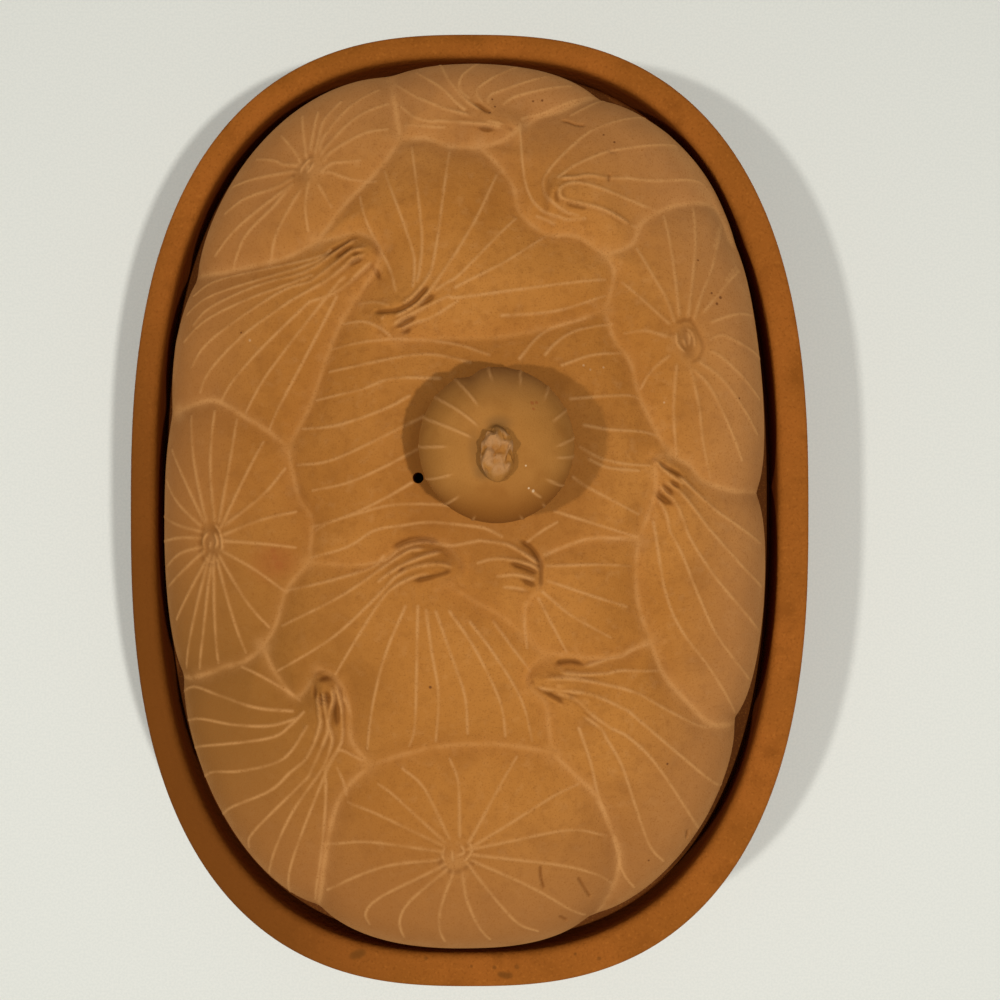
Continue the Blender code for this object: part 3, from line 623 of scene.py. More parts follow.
# The veins of each onion, from its border towards its pole, with how far they stand out and
# how wide they are at both ends.
ROOT_VEIN = ((0.22, 0.42), (0.50, 0.75), (0.4, 2.0))
NECK_VEIN = ((0.22, 0.32), (0.50, 0.60), (0.4, 0.0))
VEINS = {
    "small fold, lower left": (NECK_VEIN, (
        ((-37.5, -95.5), (-42, -92.8), (-46.5, -90.8), (-49.5, -94.5), (-51.8, -98.2)),
        ((-47.4, -96.8), (-45.6, -102), (-44.3, -108.6)),
    )),
    "root end, upper left": (ROOT_VEIN, (
        ((-62, 149), (-59.5, 131.5)), ((-55.5, 150), (-58, 134)),
        ((-46.5, 154), (-53, 145.5), (-55, 137.5), (-56, 133)),
        ((-32.5, 160), (-43.5, 151), (-52.5, 139.5), (-54.5, 134)),
        ((-28.5, 154), (-40.5, 147), (-51.5, 135.5), (-53.5, 132.5)),
        ((-28.5, 143), (-38.5, 140), (-50, 133), (-52.5, 130)),
        ((-38.5, 130), (-46.5, 129), (-50, 128.5), (-53.5, 125.5)),
        ((-32.5, 122), (-44, 123), (-49.5, 125), (-53, 125)), ((-49.5, 111.5), (-54.5, 120)),
        ((-58.5, 102.5), (-59.5, 111.5), (-58.5, 121)),
        ((-74, 89.5), (-71, 101), (-65.5, 111.5), (-61.5, 118)),
        ((-89, 89), (-83, 101.5), (-72, 112), (-64.5, 120.5)), ((-96, 95), (-86, 105), (-65.5, 120)),
        ((-92, 111), (-83, 116), (-71, 119.5), (-64.5, 123)), ((-90, 122), (-65, 125.5)),
        ((-80, 132), (-71, 130), (-68.5, 128.5), (-63, 128)), ((-70, 141), (-63, 132), (-62, 129.5)),
    )),
    "neck at the top": (NECK_VEIN, (
        ((-28, 163.5), (-19.5, 156), (-9, 150.5)),
        ((-19.5, 167.5), (-14, 162.5), (-8, 157.5), (-3, 152), (0, 149.5)),
        ((-10.5, 173), (-6.5, 162.5), (-3, 157)), ((5, 171), (-1.5, 162.5), (-1.5, 157), (1.5, 154)),
        ((20.5, 170), (8.5, 161), (4.5, 156.5), (6.5, 152.5)),
        ((33, 166), (16.5, 158.5), (9.5, 155), (9, 152.5)), ((41.5, 162.5), (20, 155.5), (15, 152)),
        ((51, 160.5), (32.5, 151), (24, 148), (22, 146.5)), ((56.5, 161), (48, 154), (40.5, 149)),
        ((-25, 153), (-19.5, 147.5), (-13.5, 145.5), (-9.5, 145.5)), ((-23.5, 144.5), (-7.5, 143)),
    )),
    "curling neck, upper right": (NECK_VEIN, (
        ((21, 144), (22, 126.5), (24.5, 116), (28.5, 110.5), (31.5, 108.5), (35, 107.5), (39, 106.5),
         (45, 107)),
        ((70.5, 151), (55, 145), (45, 139.5), (31.5, 125), (29.5, 119), (31.5, 113.5), (37, 109.5),
        (42.5, 108)), ((82.5, 139), (56, 133.5), (48, 130.5), (40.5, 126.5), (35, 122)),
        ((94.5, 121.5), (90.5, 125), (72, 123), (61, 123)), ((75, 112), (67, 113.5)),
        ((26.5, 108.5), (33.5, 105)), ((67.5, 105.5), (63.5, 105.5)),
    )),
    "root end, right": (ROOT_VEIN, (
        ((64.5, 97.5), (70.5, 85.5), (75, 77.5), (78, 69)), ((75.5, 111), (78, 93), (80, 71.5)),
        ((87.5, 115.5), (87, 97.5), (84.5, 77.5), (83.5, 71)),
        ((100, 110.5), (93.5, 90), (88.5, 78), (86, 70)), ((107, 92), (99, 83.5), (90, 73)),
        ((58.5, 84), (73, 70.5), (76, 68)), ((112, 73.5), (103, 72.5), (93, 69)),
        ((115, 57), (104, 61.5), (97, 64), (92.5, 62.5)),
        ((113.5, 40.5), (104, 49.5), (96, 56), (93, 57.5)),
        ((112.5, 26.5), (104, 38.5), (96, 48), (88, 53.5)),
        ((105.5, 16.5), (98.5, 32), (92, 44), (86, 50.5)),
        ((93, 10), (89.5, 23.5), (87.5, 37.5), (84.5, 50)), ((79.5, 18), (78, 35.5), (79, 52)),
        ((65.5, 43), (69.5, 50), (76, 55.5)), ((59, 64), (67, 65), (75, 63)),
    )),
    "above the knob": (NECK_VEIN, (
        ((-39.5, 117), (-36, 105), (-27.5, 88), (-25, 79)),
        ((-30.5, 127), (-19.5, 96.5), (-18, 87.5), (-18.5, 80.5)),
        ((-20, 136.5), (-15.5, 102.5), (-16, 87.5), (-17, 82.5)), ((-5.5, 135), (-9, 102.5), (-11.5, 87)),
        ((12.5, 125), (5.5, 108), (-2.5, 93)), ((20, 108), (0, 86), (-6.5, 81.5)),
        ((31, 101), (15, 89.5), (-3, 80)), ((53.5, 84.5), (34.5, 81.5), (-0.5, 76.5), (-5.5, 77)),
        ((-1.5, 75.5), (-8.5, 71), (-13, 68.5)), ((53.5, 78.5), (38, 73), (27.5, 71), (14, 70)),
    )),
    "neck at the left": (NECK_VEIN, (
        ((-105.5, 80.5), (-92.5, 86.5), (-56, 92.5), (-50, 95.5)),
        ((-107.5, 73), (-94, 80.5), (-58, 90), (-51.5, 93.5)),
        ((-103.5, 68), (-96, 75), (-78, 82.5), (-60.5, 86.5)),
        ((-107.5, 62), (-97.5, 70), (-82, 77), (-56.5, 85.5)),
        ((-104, 52), (-95.5, 62), (-69.5, 79), (-57, 83)),
        ((-101, 42.5), (-96, 51), (-81.5, 64), (-64, 76)), ((-92.5, 39.5), (-84.5, 49), (-57, 75.5)),
        ((-82.5, 34.5), (-72.5, 49), (-49, 79.5), (-44, 84.5)), ((-73.5, 27.5), (-62.5, 47.5), (-47, 77.5)),
    )),
    "root end, left": (ROOT_VEIN, (
        ((-104.5, 35), (-101.5, 15.5), (-96.5, -5)), ((-94.5, 36.5), (-95, 15.5), (-93, -5)),
        ((-85.5, 33.5), (-87, 18), (-91, -5)), ((-74.5, 24.5), (-89.5, -6)),
        ((-66, 14.5), (-74.5, 4), (-88.5, -7)), ((-61.5, -2), (-74.5, -5), (-89, -10.5)),
        ((-61.5, -15.5), (-74, -14), (-89.5, -13)), ((-65.5, -33), (-77, -24), (-89.5, -17)),
        ((-113, 22), (-105.5, 9.5), (-97.5, -5.5)), ((-116, 10.5), (-108.5, 1), (-99, -7)),
        ((-118, -4), (-107.5, -7.5), (-99, -9.5)), ((-118, -14), (-107.5, -12), (-99.5, -12)),
        ((-115.5, -24), (-107.5, -18), (-99, -15.5)), ((-114.5, -31.5), (-98, -17.5)),
        ((-110.5, -44), (-96.5, -20.5)), ((-108, -63.5), (-96, -21.5)),
        ((-101.5, -63), (-98, -45), (-94.5, -21.5)), ((-93.5, -60.5), (-93.5, -21.5)),
        ((-82, -56), (-86.5, -41), (-92, -20.5)), ((-72.5, -46), (-81, -35.5), (-91, -19)),
    )),
    "under the knob": (NECK_VEIN, (
        ((-39.5, 75), (-32.5, 75), (-27.5, 73.5)), ((-46, 67.5), (-37.5, 68), (-32, 66), (-27, 62.5)),
        ((-50, 58), (-38, 60), (-21.5, 61.5), (-4.5, 60), (9.5, 55.5)),
        ((-50.5, 49.5), (-38, 51.5), (-21.5, 55), (-10.5, 55.5), (2.5, 52.5)),
        ((-55.5, 39), (-37.5, 42.5), (-25.5, 46.5), (-8.5, 46.5)),
        ((-61, 28.5), (-46.5, 29.5), (-29, 35), (-19.5, 40)), ((-62.5, 15), (-46, 17.5), (-14, 32.5)),
        ((-56.5, 5.5), (-42, 8.5), (-29, 14), (-16.5, 20.5)),
        ((-56.5, -8), (-42, -3.5), (-29, 2.5), (-18.5, 8.5)),
        ((-55.5, -9.5), (-49, -6), (-37.5, -2.5), (-25, 0.5), (-8.5, 0.5), (6, -1)),
        ((-57.5, -19.5), (-42.5, -15), (-32.5, -9), (-21.5, -7), (-11.5, -6), (5, -7.5), (9, -8.5),
         (14, -11)),
        ((-39.5, -22), (-29, -20), (-23.5, -16), (-16.5, -13.5), (-11, -13.5), (-4.5, -14.5), (6, -12.5)),
        ((4.5, -21), (9, -19.5)), ((46, 70), (30, 64.5), (20.5, 54)),
        ((56, 68), (42, 65), (34.5, 60.5), (30, 55.5)), ((59, 57), (47.5, 55.5), (36, 51.5)),
        ((65.5, 40), (60.5, 41), (39, 39)), ((72.5, 26), (66.5, 27.5), (53.5, 28), (44, 29.5)),
        ((69.5, 15), (59.5, 15.5), (50, 17.5), (42.5, 21.5)), ((65.5, 13), (53, 14), (46, 17)),
        ((65.5, -3.5), (46, 6.5), (40, 10.5)), ((65.5, -12), (33.5, -2)),
    )),
    "below the knob": (NECK_VEIN, (
        ((-68.5, -45), (-45, -33), (-29.5, -22.5)),
        ((-67.5, -32), (-47.5, -27), (-33.5, -22.5), (-29.5, -18.5)),
        ((-71, -62.5), (-49, -49), (-34, -35.5), (-25, -26)), ((-48, -63), (-31.5, -36.5)),
        ((-36, -91), (-33.5, -73.5), (-28.5, -54.5), (-21, -36.5)),
        ((-20.5, -90), (-18, -81.5), (-17, -62.5), (-16.5, -36.5)),
        ((-10.5, -88.5), (-9, -69), (-11.5, -52.5), (-13.5, -38)),
        ((1.5, -85), (0.5, -69), (-5, -52.5), (-10, -38.5)),
        ((15.5, -86), (13.5, -72), (4.5, -52.5), (-5, -38.5)),
        ((25.5, -88), (21.5, -72), (11.5, -54.5), (2.5, -42.5)), ((25, -61.5), (11, -42.5)),
    )),
    "small one, right of the knob": (NECK_VEIN, (
        ((35, -5.5), (29, -9), (23.5, -13)), ((62, -12.5), (46.5, -12), (30, -18)),
        ((63, -22.5), (50, -21.5), (30.5, -22)), ((61, -37.5), (31, -27.5)),
        ((55, -49), (39.5, -40), (29, -31.5)), ((38.5, -55), (27.5, -34)),
        ((23.5, -53), (22.5, -44), (23, -35.5)),
    )),
    "neck at the lower left": (NECK_VEIN, (
        ((-85, -60.5), (-76.5, -63.5), (-61.5, -72.5)),
        ((-112, -73.5), (-104, -69.5), (-93, -71.5), (-77, -75.5), (-64, -76.5)),
        ((-109.5, -84), (-100.5, -81), (-87, -82), (-72.5, -82), (-62, -79)),
        ((-106, -94.5), (-98, -91), (-72.5, -86.5), (-65, -82), (-59.5, -76.5)),
        ((-102, -105.5), (-95.5, -101), (-84, -99.5), (-71, -96), (-64.5, -91.5), (-58, -81.5)),
        ((-95, -120.5), (-88, -114), (-72.5, -106.5), (-65, -99.5)),
        ((-83, -131.5), (-80, -123.5), (-58, -101)),
        ((-76, -142.5), (-71.5, -129.5), (-64.5, -115), (-54.5, -100.5)),
        ((-69, -152.5), (-65.5, -135), (-53, -103), (-45.5, -88)),
        ((-58.5, -154), (-54.5, -132), (-52, -110.5), (-51.5, -98)),
    )),
    "root end, bottom": (ROOT_VEIN, (
        ((-54, -129), (-35.5, -125.5), (-9.5, -128)), ((-44.5, -111), (-31, -115), (-8.5, -125.5)),
        ((-32.5, -103), (-25, -108), (-7.5, -124)), ((-23.5, -97), (-14.5, -104.5), (-5.5, -123)),
        ((-5.5, -93), (-2, -102.5), (-1.5, -122)), ((20, -92.5), (15, -100.5), (2.5, -123.5)),
        ((43.5, -104), (31, -109), (3.5, -126)), ((54.5, -125), (37.5, -121), (4, -127)),
        ((56.5, -145), (51.5, -140.5), (41.5, -136), (28.5, -133), (4, -129.5)),
        ((47, -158.5), (31.5, -147), (20, -140), (3.5, -132)), ((28.5, -162.5), (18.5, -156), (2, -134)),
        ((10, -165.5), (5.5, -159), (1, -147.5), (-0.5, -136.5)),
        ((-7.5, -166.5), (-9.5, -159), (-8.5, -149.5), (-4, -136.5)),
        ((-23, -165), (-24.5, -157), (-20.5, -148.5), (-6.5, -135.5)),
        ((-36, -160), (-37.5, -154), (-30.5, -146.5), (-8, -134)),
        ((-53.5, -147.5), (-40.5, -139.5), (-27, -134), (-9.5, -131.5)),
    )),
    "neck at the lower right": (NECK_VEIN, (
        ((69.5, -51.5), (62.5, -54), (59, -56), (55, -56.5)), ((74.5, -62), (59, -61), (53.5, -62)),
        ((95, -84.5), (89, -83.5), (74.5, -75.5), (65.5, -70), (59, -67.5)),
        ((100.5, -109), (93, -104), (60.5, -75.5)), ((90.5, -125), (72.5, -97.5), (61.5, -86), (54.5, -82)),
        ((76.5, -136.5), (70, -128.5), (64, -112), (58.5, -96), (52.5, -85.5)),
        ((65.5, -147.5), (60, -139.5), (57, -127.5), (50.5, -109.5), (47, -95), (42.5, -82)),
    )),
    "long one, right": (NECK_VEIN, (
        ((114.5, -15), (95, -2)), ((114.5, -31.5), (104, -22), (91.5, -8.5)),
        ((114, -49), (97, -30.5), (88, -18.5), (83.5, -11)),
        ((110, -67.5), (96, -50.5), (88, -35), (81, -18), (76.5, -9.5)),
        ((105, -81), (92.5, -61.5), (80.5, -45.5), (74.5, -30.5), (70.5, -6)),
    )),
}

# Bold folds that the veins gather into on the necks, the leaves inside the root ends, and the
# grooves pressed beside them.
TUFT = ((0.30, 1.05), (0.60, 0.80), (0.0, 3.0))
TUFTS = (
    ((-3, 157), (1.5, 152), (5.5, 149.5), (7.5, 148.5)), ((-9.5, 145.5), (10, 143), (15.5, 141.5)),
    ((9, 144.5), (16, 143)), ((-9, 150.5), (3, 146.5)),
    ((61, 123), (52.5, 122.5), (49, 123), (45, 123), (41.5, 122), (34.5, 121.5)),
    ((67, 113.5), (50, 118.5), (42.5, 120), (38, 119), (35.5, 117), (35.5, 114.5), (38, 113),
    (51, 110.5), (63.5, 105.5)), ((-11.5, 87), (-14, 82), (-18.5, 76.5), (-23.5, 73)),
    ((-2.5, 93), (-13.5, 77), (-19.5, 72), (-26, 68.5)), ((-6.5, 81.5), (-12, 77.5)),
    ((-5.5, 77), (-22.5, 68), (-26.5, 65)), ((-13, 68.5), (-19.5, 66.5), (-24.5, 64)),
    ((-29.5, 68.5), (-27.5, 70.5)), ((-60.5, 86.5), (-53.5, 90), (-42.5, 98), (-39, 99.5)),
    ((-57, 83), (-47.5, 89.5), (-42.5, 93.5), (-40.5, 94.5), (-35.5, 95.5)),
    ((-64, 76), (-49.5, 84), (-40.5, 91), (-37.5, 92), (-35.5, 93.5)),
    ((-57, 75.5), (-49.5, 78), (-43, 82), (-39.5, 85.5), (-33, 91)),
    ((6, -12.5), (16, -14), (24, -18.5), (28.5, -22)), ((9, -19.5), (14.5, -19), (23.5, -21), (29, -24)),
    ((12.5, -25.5), (16.5, -25), (20, -25), (28, -27.5)), ((15, -29.5), (19.5, -30), (24.5, -31.5)),
    ((-29.5, -22.5), (-23, -18), (-19, -16), (-13.5, -15.5)),
    ((-31, -27.5), (-27, -24.5), (-21, -21), (-13.5, -18), (-7, -16.5)),
    ((-25, -26), (-18.5, -22.5), (-9, -21), (-3, -22.5)),
    ((-31.5, -36.5), (-26.5, -30.5), (-18.5, -26), (-11, -24.5)),
    ((-65, -99.5), (-58, -93), (-53, -81.5), (-53, -77.5), (-54, -68.5)),
    ((-58, -101), (-52, -88), (-50, -81), (-52, -67)),
    ((-54.5, -100.5), (-52, -96.5), (-49, -88.5), (-49, -84.5), (-50, -80), (-48, -71), (-49, -66)),
    ((-45.5, -88), (-45, -83), (-45.5, -73), (-47.5, -64.5)), ((-42, -79), (-42.5, -76), (-45, -69)),
    ((55, -56.5), (44, -59.5)), ((53.5, -62), (44, -62), (35, -61)),
    ((59, -67.5), (41.5, -63.5), (29, -63)), ((60.5, -75.5), (46, -69), (29.5, -67), (26, -65.5)),
    ((54.5, -82), (47.5, -77), (43, -72.5), (40, -70.5), (32, -68)),
    ((52.5, -85.5), (50.5, -82), (43, -76.5)), ((34.5, -66), (38, -66)), ((95, -2), (79, 12)),
    ((81.5, 8.5), (77, 11), (73, 14.5), (69.5, 18.5)), ((91.5, -8.5), (82.5, 3), (73.5, 10)),
    ((83.5, -11), (79, 0.5), (71.5, 8.5)), ((76.5, -9.5), (75, -2.5), (71, 4)),
)
LEAF = ((0.75, 0.60), (0.60, 0.50), (1.5, 2.0))
LEAVES = (
    ((-57.5, 131), (-61, 127), (-61.5, 124.5)), ((-58, 129), (-60, 125.5)),
    ((-56.5, 129.5), (-57.5, 127), (-60, 124.5)), ((79, 65), (79, 63), (79.5, 60), (83, 56.5)),
    ((82.5, 66.5), (84.5, 65), (85.5, 63), (86, 60.5), (85.5, 58.5)), ((82.5, 65), (84, 63.5), (84, 59)),
    ((81.5, 63), (83, 58.5)), ((-93.5, -6.5), (-91.5, -8.5), (-90.5, -11), (-90, -15.5), (-91.5, -17)),
    ((-95, -9.5), (-96.5, -11), (-97.5, -13.5), (-96.5, -17)),
    ((-93.5, -9.5), (-92.5, -11.5), (-92, -14), (-93.5, -16.5)), ((-94.5, -12.5), (-95, -15), (-95, -17)),
    ((-6.5, -125.5), (-7.5, -127.5), (-8, -130), (-6.5, -132.5)), ((-4.5, -126.5), (-4, -133)),
    ((-2, -125.5), (-0.5, -126.5), (0, -128.5), (-1.5, -129.5), (-3.5, -130)),
    ((0.5, -124), (2.5, -125.5), (3, -128), (1, -131), (-1, -132.5)),
)
GROOVE = ((1.35, 1.10), (1.00, 0.90), (3.0, 2.5))
GROOVES = (
    ((2.5, 152), (11, 147.5)), ((4.5, 142.5), (11.5, 141.5)), ((15.5, 142.5), (19.5, 141.5)),
    ((-34, 71), (-24.5, 71.5), (-19, 74), (-16, 77), (-12.5, 81)),
    ((-17.5, 73), (-9.5, 77.5)), ((-25, 65), (-17, 69.5)), ((-23, 63), (-18.5, 65)),
    ((-53.5, 93), (-41.5, 100)), ((-48, 91.5), (-44, 95), (-40.5, 96.5)), ((-41.5, 92.5), (-38, 94)),
    ((-43.5, 88.5), (-39.5, 90.5), (-36.5, 91.5)), ((-34, 89.5), (-32, 86), (-31, 83)),
    ((20, -12), (24.5, -15), (27.5, -19), (28.5, -23.5), (28.5, -31)),
    ((16.5, -20.5), (22.5, -22.5), (28, -25)), ((20.5, -26.5), (24.5, -28.5), (27.5, -30)),
    ((-27, -16), (-21, -13), (-15.5, -12), (-8.5, -13)), ((-18.5, -27.5), (-9.5, -25.5), (-3.5, -23.5)),
    ((-25, -23.5), (-21, -22.5)), ((-55.5, -65.5), (-55, -72)), ((-53, -68), (-52.5, -74)),
    ((-50.5, -67.5), (-49.5, -73.5)), ((-47, -72), (-47, -82.5)),
    ((-55, -64.5), (-51, -63.5), (-48.5, -64)), ((32.5, -58.5), (36.5, -57.5), (41, -57.5), (45, -59)),
    ((25, -63), (25.5, -66)), ((29, -68.5), (34, -71), (37.5, -73.5)), ((37.5, -69.5), (41.5, -71)),
    ((71.5, 17), (74.5, 14.5), (79, 12.5), (82, 10)), ((76, 9.5), (81, 6.5)), ((73, 8), (78, 3.5)),
    ((71, 6.5), (73, 3.5), (78, 0)),
)
ROOT_GROOVE = ((0.70, 0.60), (1.00, 0.90), (2.0, 2.0))
ROOT_GROOVES = (
    ((37.5, 112.5), (40, 111.5), (46.5, 110.5)), ((34.5, 117.5), (34, 114), (36, 111.5)),
    ((-56, 132.5), (-60.5, 129.5), (-63, 126.5), (-64, 124), (-62, 122)),
    ((78.5, 67.5), (81, 69), (83.5, 69.5), (85.5, 68), (89, 61.5), (89, 57.5), (86.5, 54.5), (83.5, 53)),
    ((77.5, 66), (77, 62.5)),
    ((-96, -7), (-98, -9.5), (-99, -14), (-98.5, -18.5), (-96.5, -21), (-93.5, -21.5), (-91, -20)),
    ((-96.5, -18.5), (-93.5, -19.5), (-91.5, -18.5)), ((-95, -7), (-93, -8.5), (-91.5, -11)),
    ((-9.5, -130), (-8.5, -133.5), (-5.5, -136), (-2.5, -136.5), (2.5, -133.5), (4.5, -130.5)),
)
ROOTS = ((-59, 127), (83, 61), (-94.5, -13.5), (-3, -132.5))
ROOT_GLOW = ((0.50, 0.50), (8.0, 8.0))
PITS = (((82.5, 65), (84, 57)), ((-94.5, -9.5), (-94.5, -18)), ((-59.5, 128), (-61, 124)))
PIT = ((0.8, 0.8), (3.0, 3.0))
CRACKS = (
    ((28.5, -134), (28.5, -138), (30, -144)), ((42.5, -139.5), (45, -144), (48, -149.5)),
    ((35.5, -155.5), (39.5, -159)), ((85, -123), (85, -128)), ((54.5, 124.5), (54, 121)),
    ((36.5, 146.5), (39, 146), (42, 144.5), (46, 144)), ((54, 133), (57.5, 133.5)),
)
CRACK = ((0.90, 0.90), (0.55, 0.55), (1.0, 1.0))
SEAM = ((0.22, 0.22), (1.5, 1.5))
SEAM_WEAR = ((0.8, 0.8), (1.5, 1.5))
SEAM_GLOW = ((0.42, 0.42), (4.2, 4.2))
JUNCTION = ((0.75, 0.75), (5.0, 5.0))
PALE_SHARE = 1.3
ROOT_TINTS = (0.72, 0.58)
NECK_TINTS = (0.68, 0.78)

ridges, cuts, pale, worn = (Sheet(SURFACE_STEP) for _ in range(4))


def wear_round(place, tints, halves):
    """Wear a round spot of the heap pale."""
    worn.raise_line((place, (place[0] + 0.1, place[1])), tints, halves)


for crease in CREASES:
    ridges.raise_line(crease, *SEAM)
    worn.raise_line(crease, *SEAM_WEAR)
    worn.raise_line(crease, *SEAM_GLOW)
    wear_round(crease[0], *JUNCTION)
    wear_round(crease[-1], *JUNCTION)


def run_on(line, reach=2.0):
    """The line with its last run drawn out by this much."""
    run = np.array(line[-1]) - np.array(line[-2])
    return (*line, tuple(np.array(line[-1]) + run * reach / np.linalg.norm(run)))


for kind, group in (*VEINS.values(), (TUFT, TUFTS), (LEAF, LEAVES)):
    rises, halves, fades = kind
    for line in group:
        line = run_on(line) if kind is ROOT_VEIN else line
        ridges.raise_line(line, *kind)
        tints = ROOT_TINTS if kind is ROOT_VEIN else NECK_TINTS
        pale.raise_line(line, tints, (halves[0] * PALE_SHARE, halves[1] * PALE_SHARE), fades)
for place in ROOTS:
    wear_round(place, *ROOT_GLOW)
for kind, group in ((GROOVE, GROOVES), (ROOT_GROOVE, ROOT_GROOVES), (PIT, PITS), (CRACK, CRACKS)):
    for line in group:
        cuts.raise_line(line, *kind)


def heap_reach(places):
    """0 in the middle of the heap and 1 on its edge."""
    return np.sum(np.abs(places / heap_half) ** HEAP_POWER, axis=1) ** (1 / HEAP_POWER)


def crown_rise(places):
    """The slow rise of the dome from the heap's edge to its crown."""
    return DOME_RISE * (1 - np.minimum(heap_reach(places), 1) ** DOME_POWER)


# The top is one fine net of squares, drawn out to the heap's outline, which is notched at the
# creases and full at the upper right, and raised as the relief. The flange and the hollow are
# pulled from its edge, ring by ring.
columns, rows = np.round(2 * heap_half / SURFACE_STEP).astype(int)
bpy.ops.mesh.primitive_grid_add(x_subdivisions=columns, y_subdivisions=rows, size=2)
lid = bpy.context.object
lid.name = "onion_lid"
flat = points_of(lid)[:, :2].astype(float)
out = np.maximum(np.abs(flat).max(axis=1), TINY)
sideways = np.abs(flat[:, 1]) > np.abs(flat[:, 0])
along_side = np.where(sideways, flat[:, 0], flat[:, 1]) / out
turn = np.where(sideways, math.pi / 2 - along_side * math.pi / 4, along_side * math.pi / 4)
turn = np.where(sideways & (flat[:, 1] < 0), -turn, turn)
turn = np.where(~sideways & (flat[:, 0] < 0), math.pi - turn, turn)
edge = oval(heap_half, turn, HEAP_POWER)
edge_reach = np.linalg.norm(edge, axis=1)
notch = NOTCH_DEPTH * np.exp(-crease_away.read(edge) / NOTCH_SPREAD)
notch = notch * np.clip(edge[:, 0] / NOTCH_EAST, NOTCH_LEAST, 1)
full_side = np.exp(-((np.degrees(turn) - FULL_TURN) / FULL_SPREAD) ** 2)
notch = notch * (1 - full_side) - FULL_BULGE * full_side
edge = edge * (1 - notch / edge_reach)[:, None]
edge_reach = np.linalg.norm(edge, axis=1)
swing = np.clip((1 - out) / SHOULDER_SHARE, 0, 1) * math.pi / 2
inward = SHOULDER_REACH * (1 - np.cos(swing))
core = np.minimum(out / (1 - SHOULDER_SHARE), 1)
places = edge * ((1 - inward / edge_reach) * core)[:, None]
height = heap_level + SHOULDER_RISE * np.sin(swing) + crown_rise(places) + swell.read(places)
detail = ridges.read(places) - cuts.read(places)
places = places + edge / edge_reach[:, None] * (detail * np.cos(swing))[:, None]
height = height + detail * np.sin(swing)
middle = mouth_shift / MM
lid.data.vertices.foreach_set("co", (np.column_stack([places + middle, height]) * MM).ravel())
bpy.ops.object.modifier_add(type="DECIMATE")
lid.modifiers["Decimate"].ratio = LID_TRIANGLES / (2 * columns * rows)
bpy.ops.object.modifier_apply(modifier="Decimate")

bpy.ops.object.mode_set(mode="EDIT")
bpy.ops.mesh.select_all(action="DESELECT")
mesh = bmesh.from_edit_mesh(lid.data)
turns = mesh.verts.layers.float.new("turn")
for rim_edge in mesh.edges:
    rim_edge.select = rim_edge.is_boundary
for point in mesh.verts:
    point.select = point.is_boundary
    away = (np.array(point.co[:2]) / MM - middle) / heap_half
    point[turns] = math.atan2(away[1], away[0])
bmesh.update_edit_mesh(lid.data)
for level in (flange_top + FOOT_BAND, flange_top):
    bpy.ops.mesh.extrude_edges_move()
    mesh = bmesh.from_edit_mesh(lid.data)
    for point in mesh.verts:
        if point.select:
            away = np.array(point.co[:2]) / MM - middle
            away = away * (1 - HEAP_UNDERCUT / 2 / np.linalg.norm(away))
            point.co = (*((away + middle) * MM), level * MM)
    bmesh.update_edit_mesh(lid.data)


def pull_lid(half, level, power=OVAL_POWER):
    """Extrude the lid's edge to an oval at a level, both in millimetres."""
    pull_ring(lid, half * MM, level * MM, mouth_shift, power)


pull_lid(flange_half - FLANGE_ROUND, flange_top)
for angle in arc(4):
    inset = FLANGE_ROUND * (1 - math.sin(angle))
    pull_lid(flange_half - inset, flange_top - FLANGE_ROUND * (1 - math.cos(angle)))
pull_lid(flange_half, seat_level + FLANGE_ROUND)
for angle in arc(4):
    inset = FLANGE_ROUND * (1 - math.cos(angle))
    pull_lid(flange_half - inset, seat_level + FLANGE_ROUND * (1 - math.sin(angle)))
pull_lid(hollow_half, seat_level, HEAP_POWER)
hollow_level = heap_level - LID_WALL
pull_lid(hollow_half, hollow_level, HEAP_POWER)
for angle in arc(5):
    inset = SHOULDER_REACH * (1 - math.cos(angle))
    rise = SHOULDER_RISE * math.sin(angle)
    reach = 1 - (inset + LID_WALL) / heap_half.mean()
    level = hollow_level + rise + DOME_RISE * (1 - reach ** DOME_POWER)
    pull_lid(hollow_half - inset, level, HEAP_POWER)
for share in (0.8, 0.6, 0.4, 0.2):
    reach = share * (1 - (SHOULDER_REACH + LID_WALL) / heap_half.mean())
    level = hollow_level + SHOULDER_RISE + DOME_RISE * (1 - reach ** DOME_POWER)
    pull_lid((hollow_half - SHOULDER_REACH) * share, level, HEAP_POWER)
close_up()

# The knob's round socket and the steam vent are cut after the lid is pressed.
KNOB_PLACE = (12.0, 22.8)
SOCKET_HALF = 15.3
SOCKET_DEPTH = 4.0
VENT_PLACE = (-16.3, 10.2)
VENT_HALF = 2.0
HOLE_SIDES = 64
DRILL_REACH = 20
CLAY_SMOOTH = 50

knob_low, knob_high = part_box("knob")
socket_floor = knob_low.z / MM - SEAT_GAP


def drill(name, place, half, low, high):
    """Take an upright round hole out of the lid."""
    middle_x, middle_y = (np.array(place) + middle) * MM
    bpy.ops.mesh.primitive_cylinder_add(
        vertices=HOLE_SIDES, radius=half * MM, depth=(high - low) * MM,
        location=(middle_x, middle_y, (low + high) / 2 * MM))
    bit = bpy.context.object
    hole = lid.modifiers.new(name, "BOOLEAN")
    hole.object = bit
    hole.solver = "MANIFOLD"
    bpy.context.view_layer.objects.active = lid
    bpy.ops.object.modifier_apply(modifier=name)
    bpy.data.objects.remove(bit, do_unlink=True)


drill("knob socket", KNOB_PLACE, SOCKET_HALF, socket_floor, socket_floor + DRILL_REACH)
drill("steam vent", VENT_PLACE, VENT_HALF, seat_level, socket_floor + DRILL_REACH)
bpy.ops.object.select_all(action="DESELECT")
lid.select_set(True)
bpy.context.view_layer.objects.active = lid
bpy.ops.object.shade_smooth_by_angle(angle=math.radians(CLAY_SMOOTH))
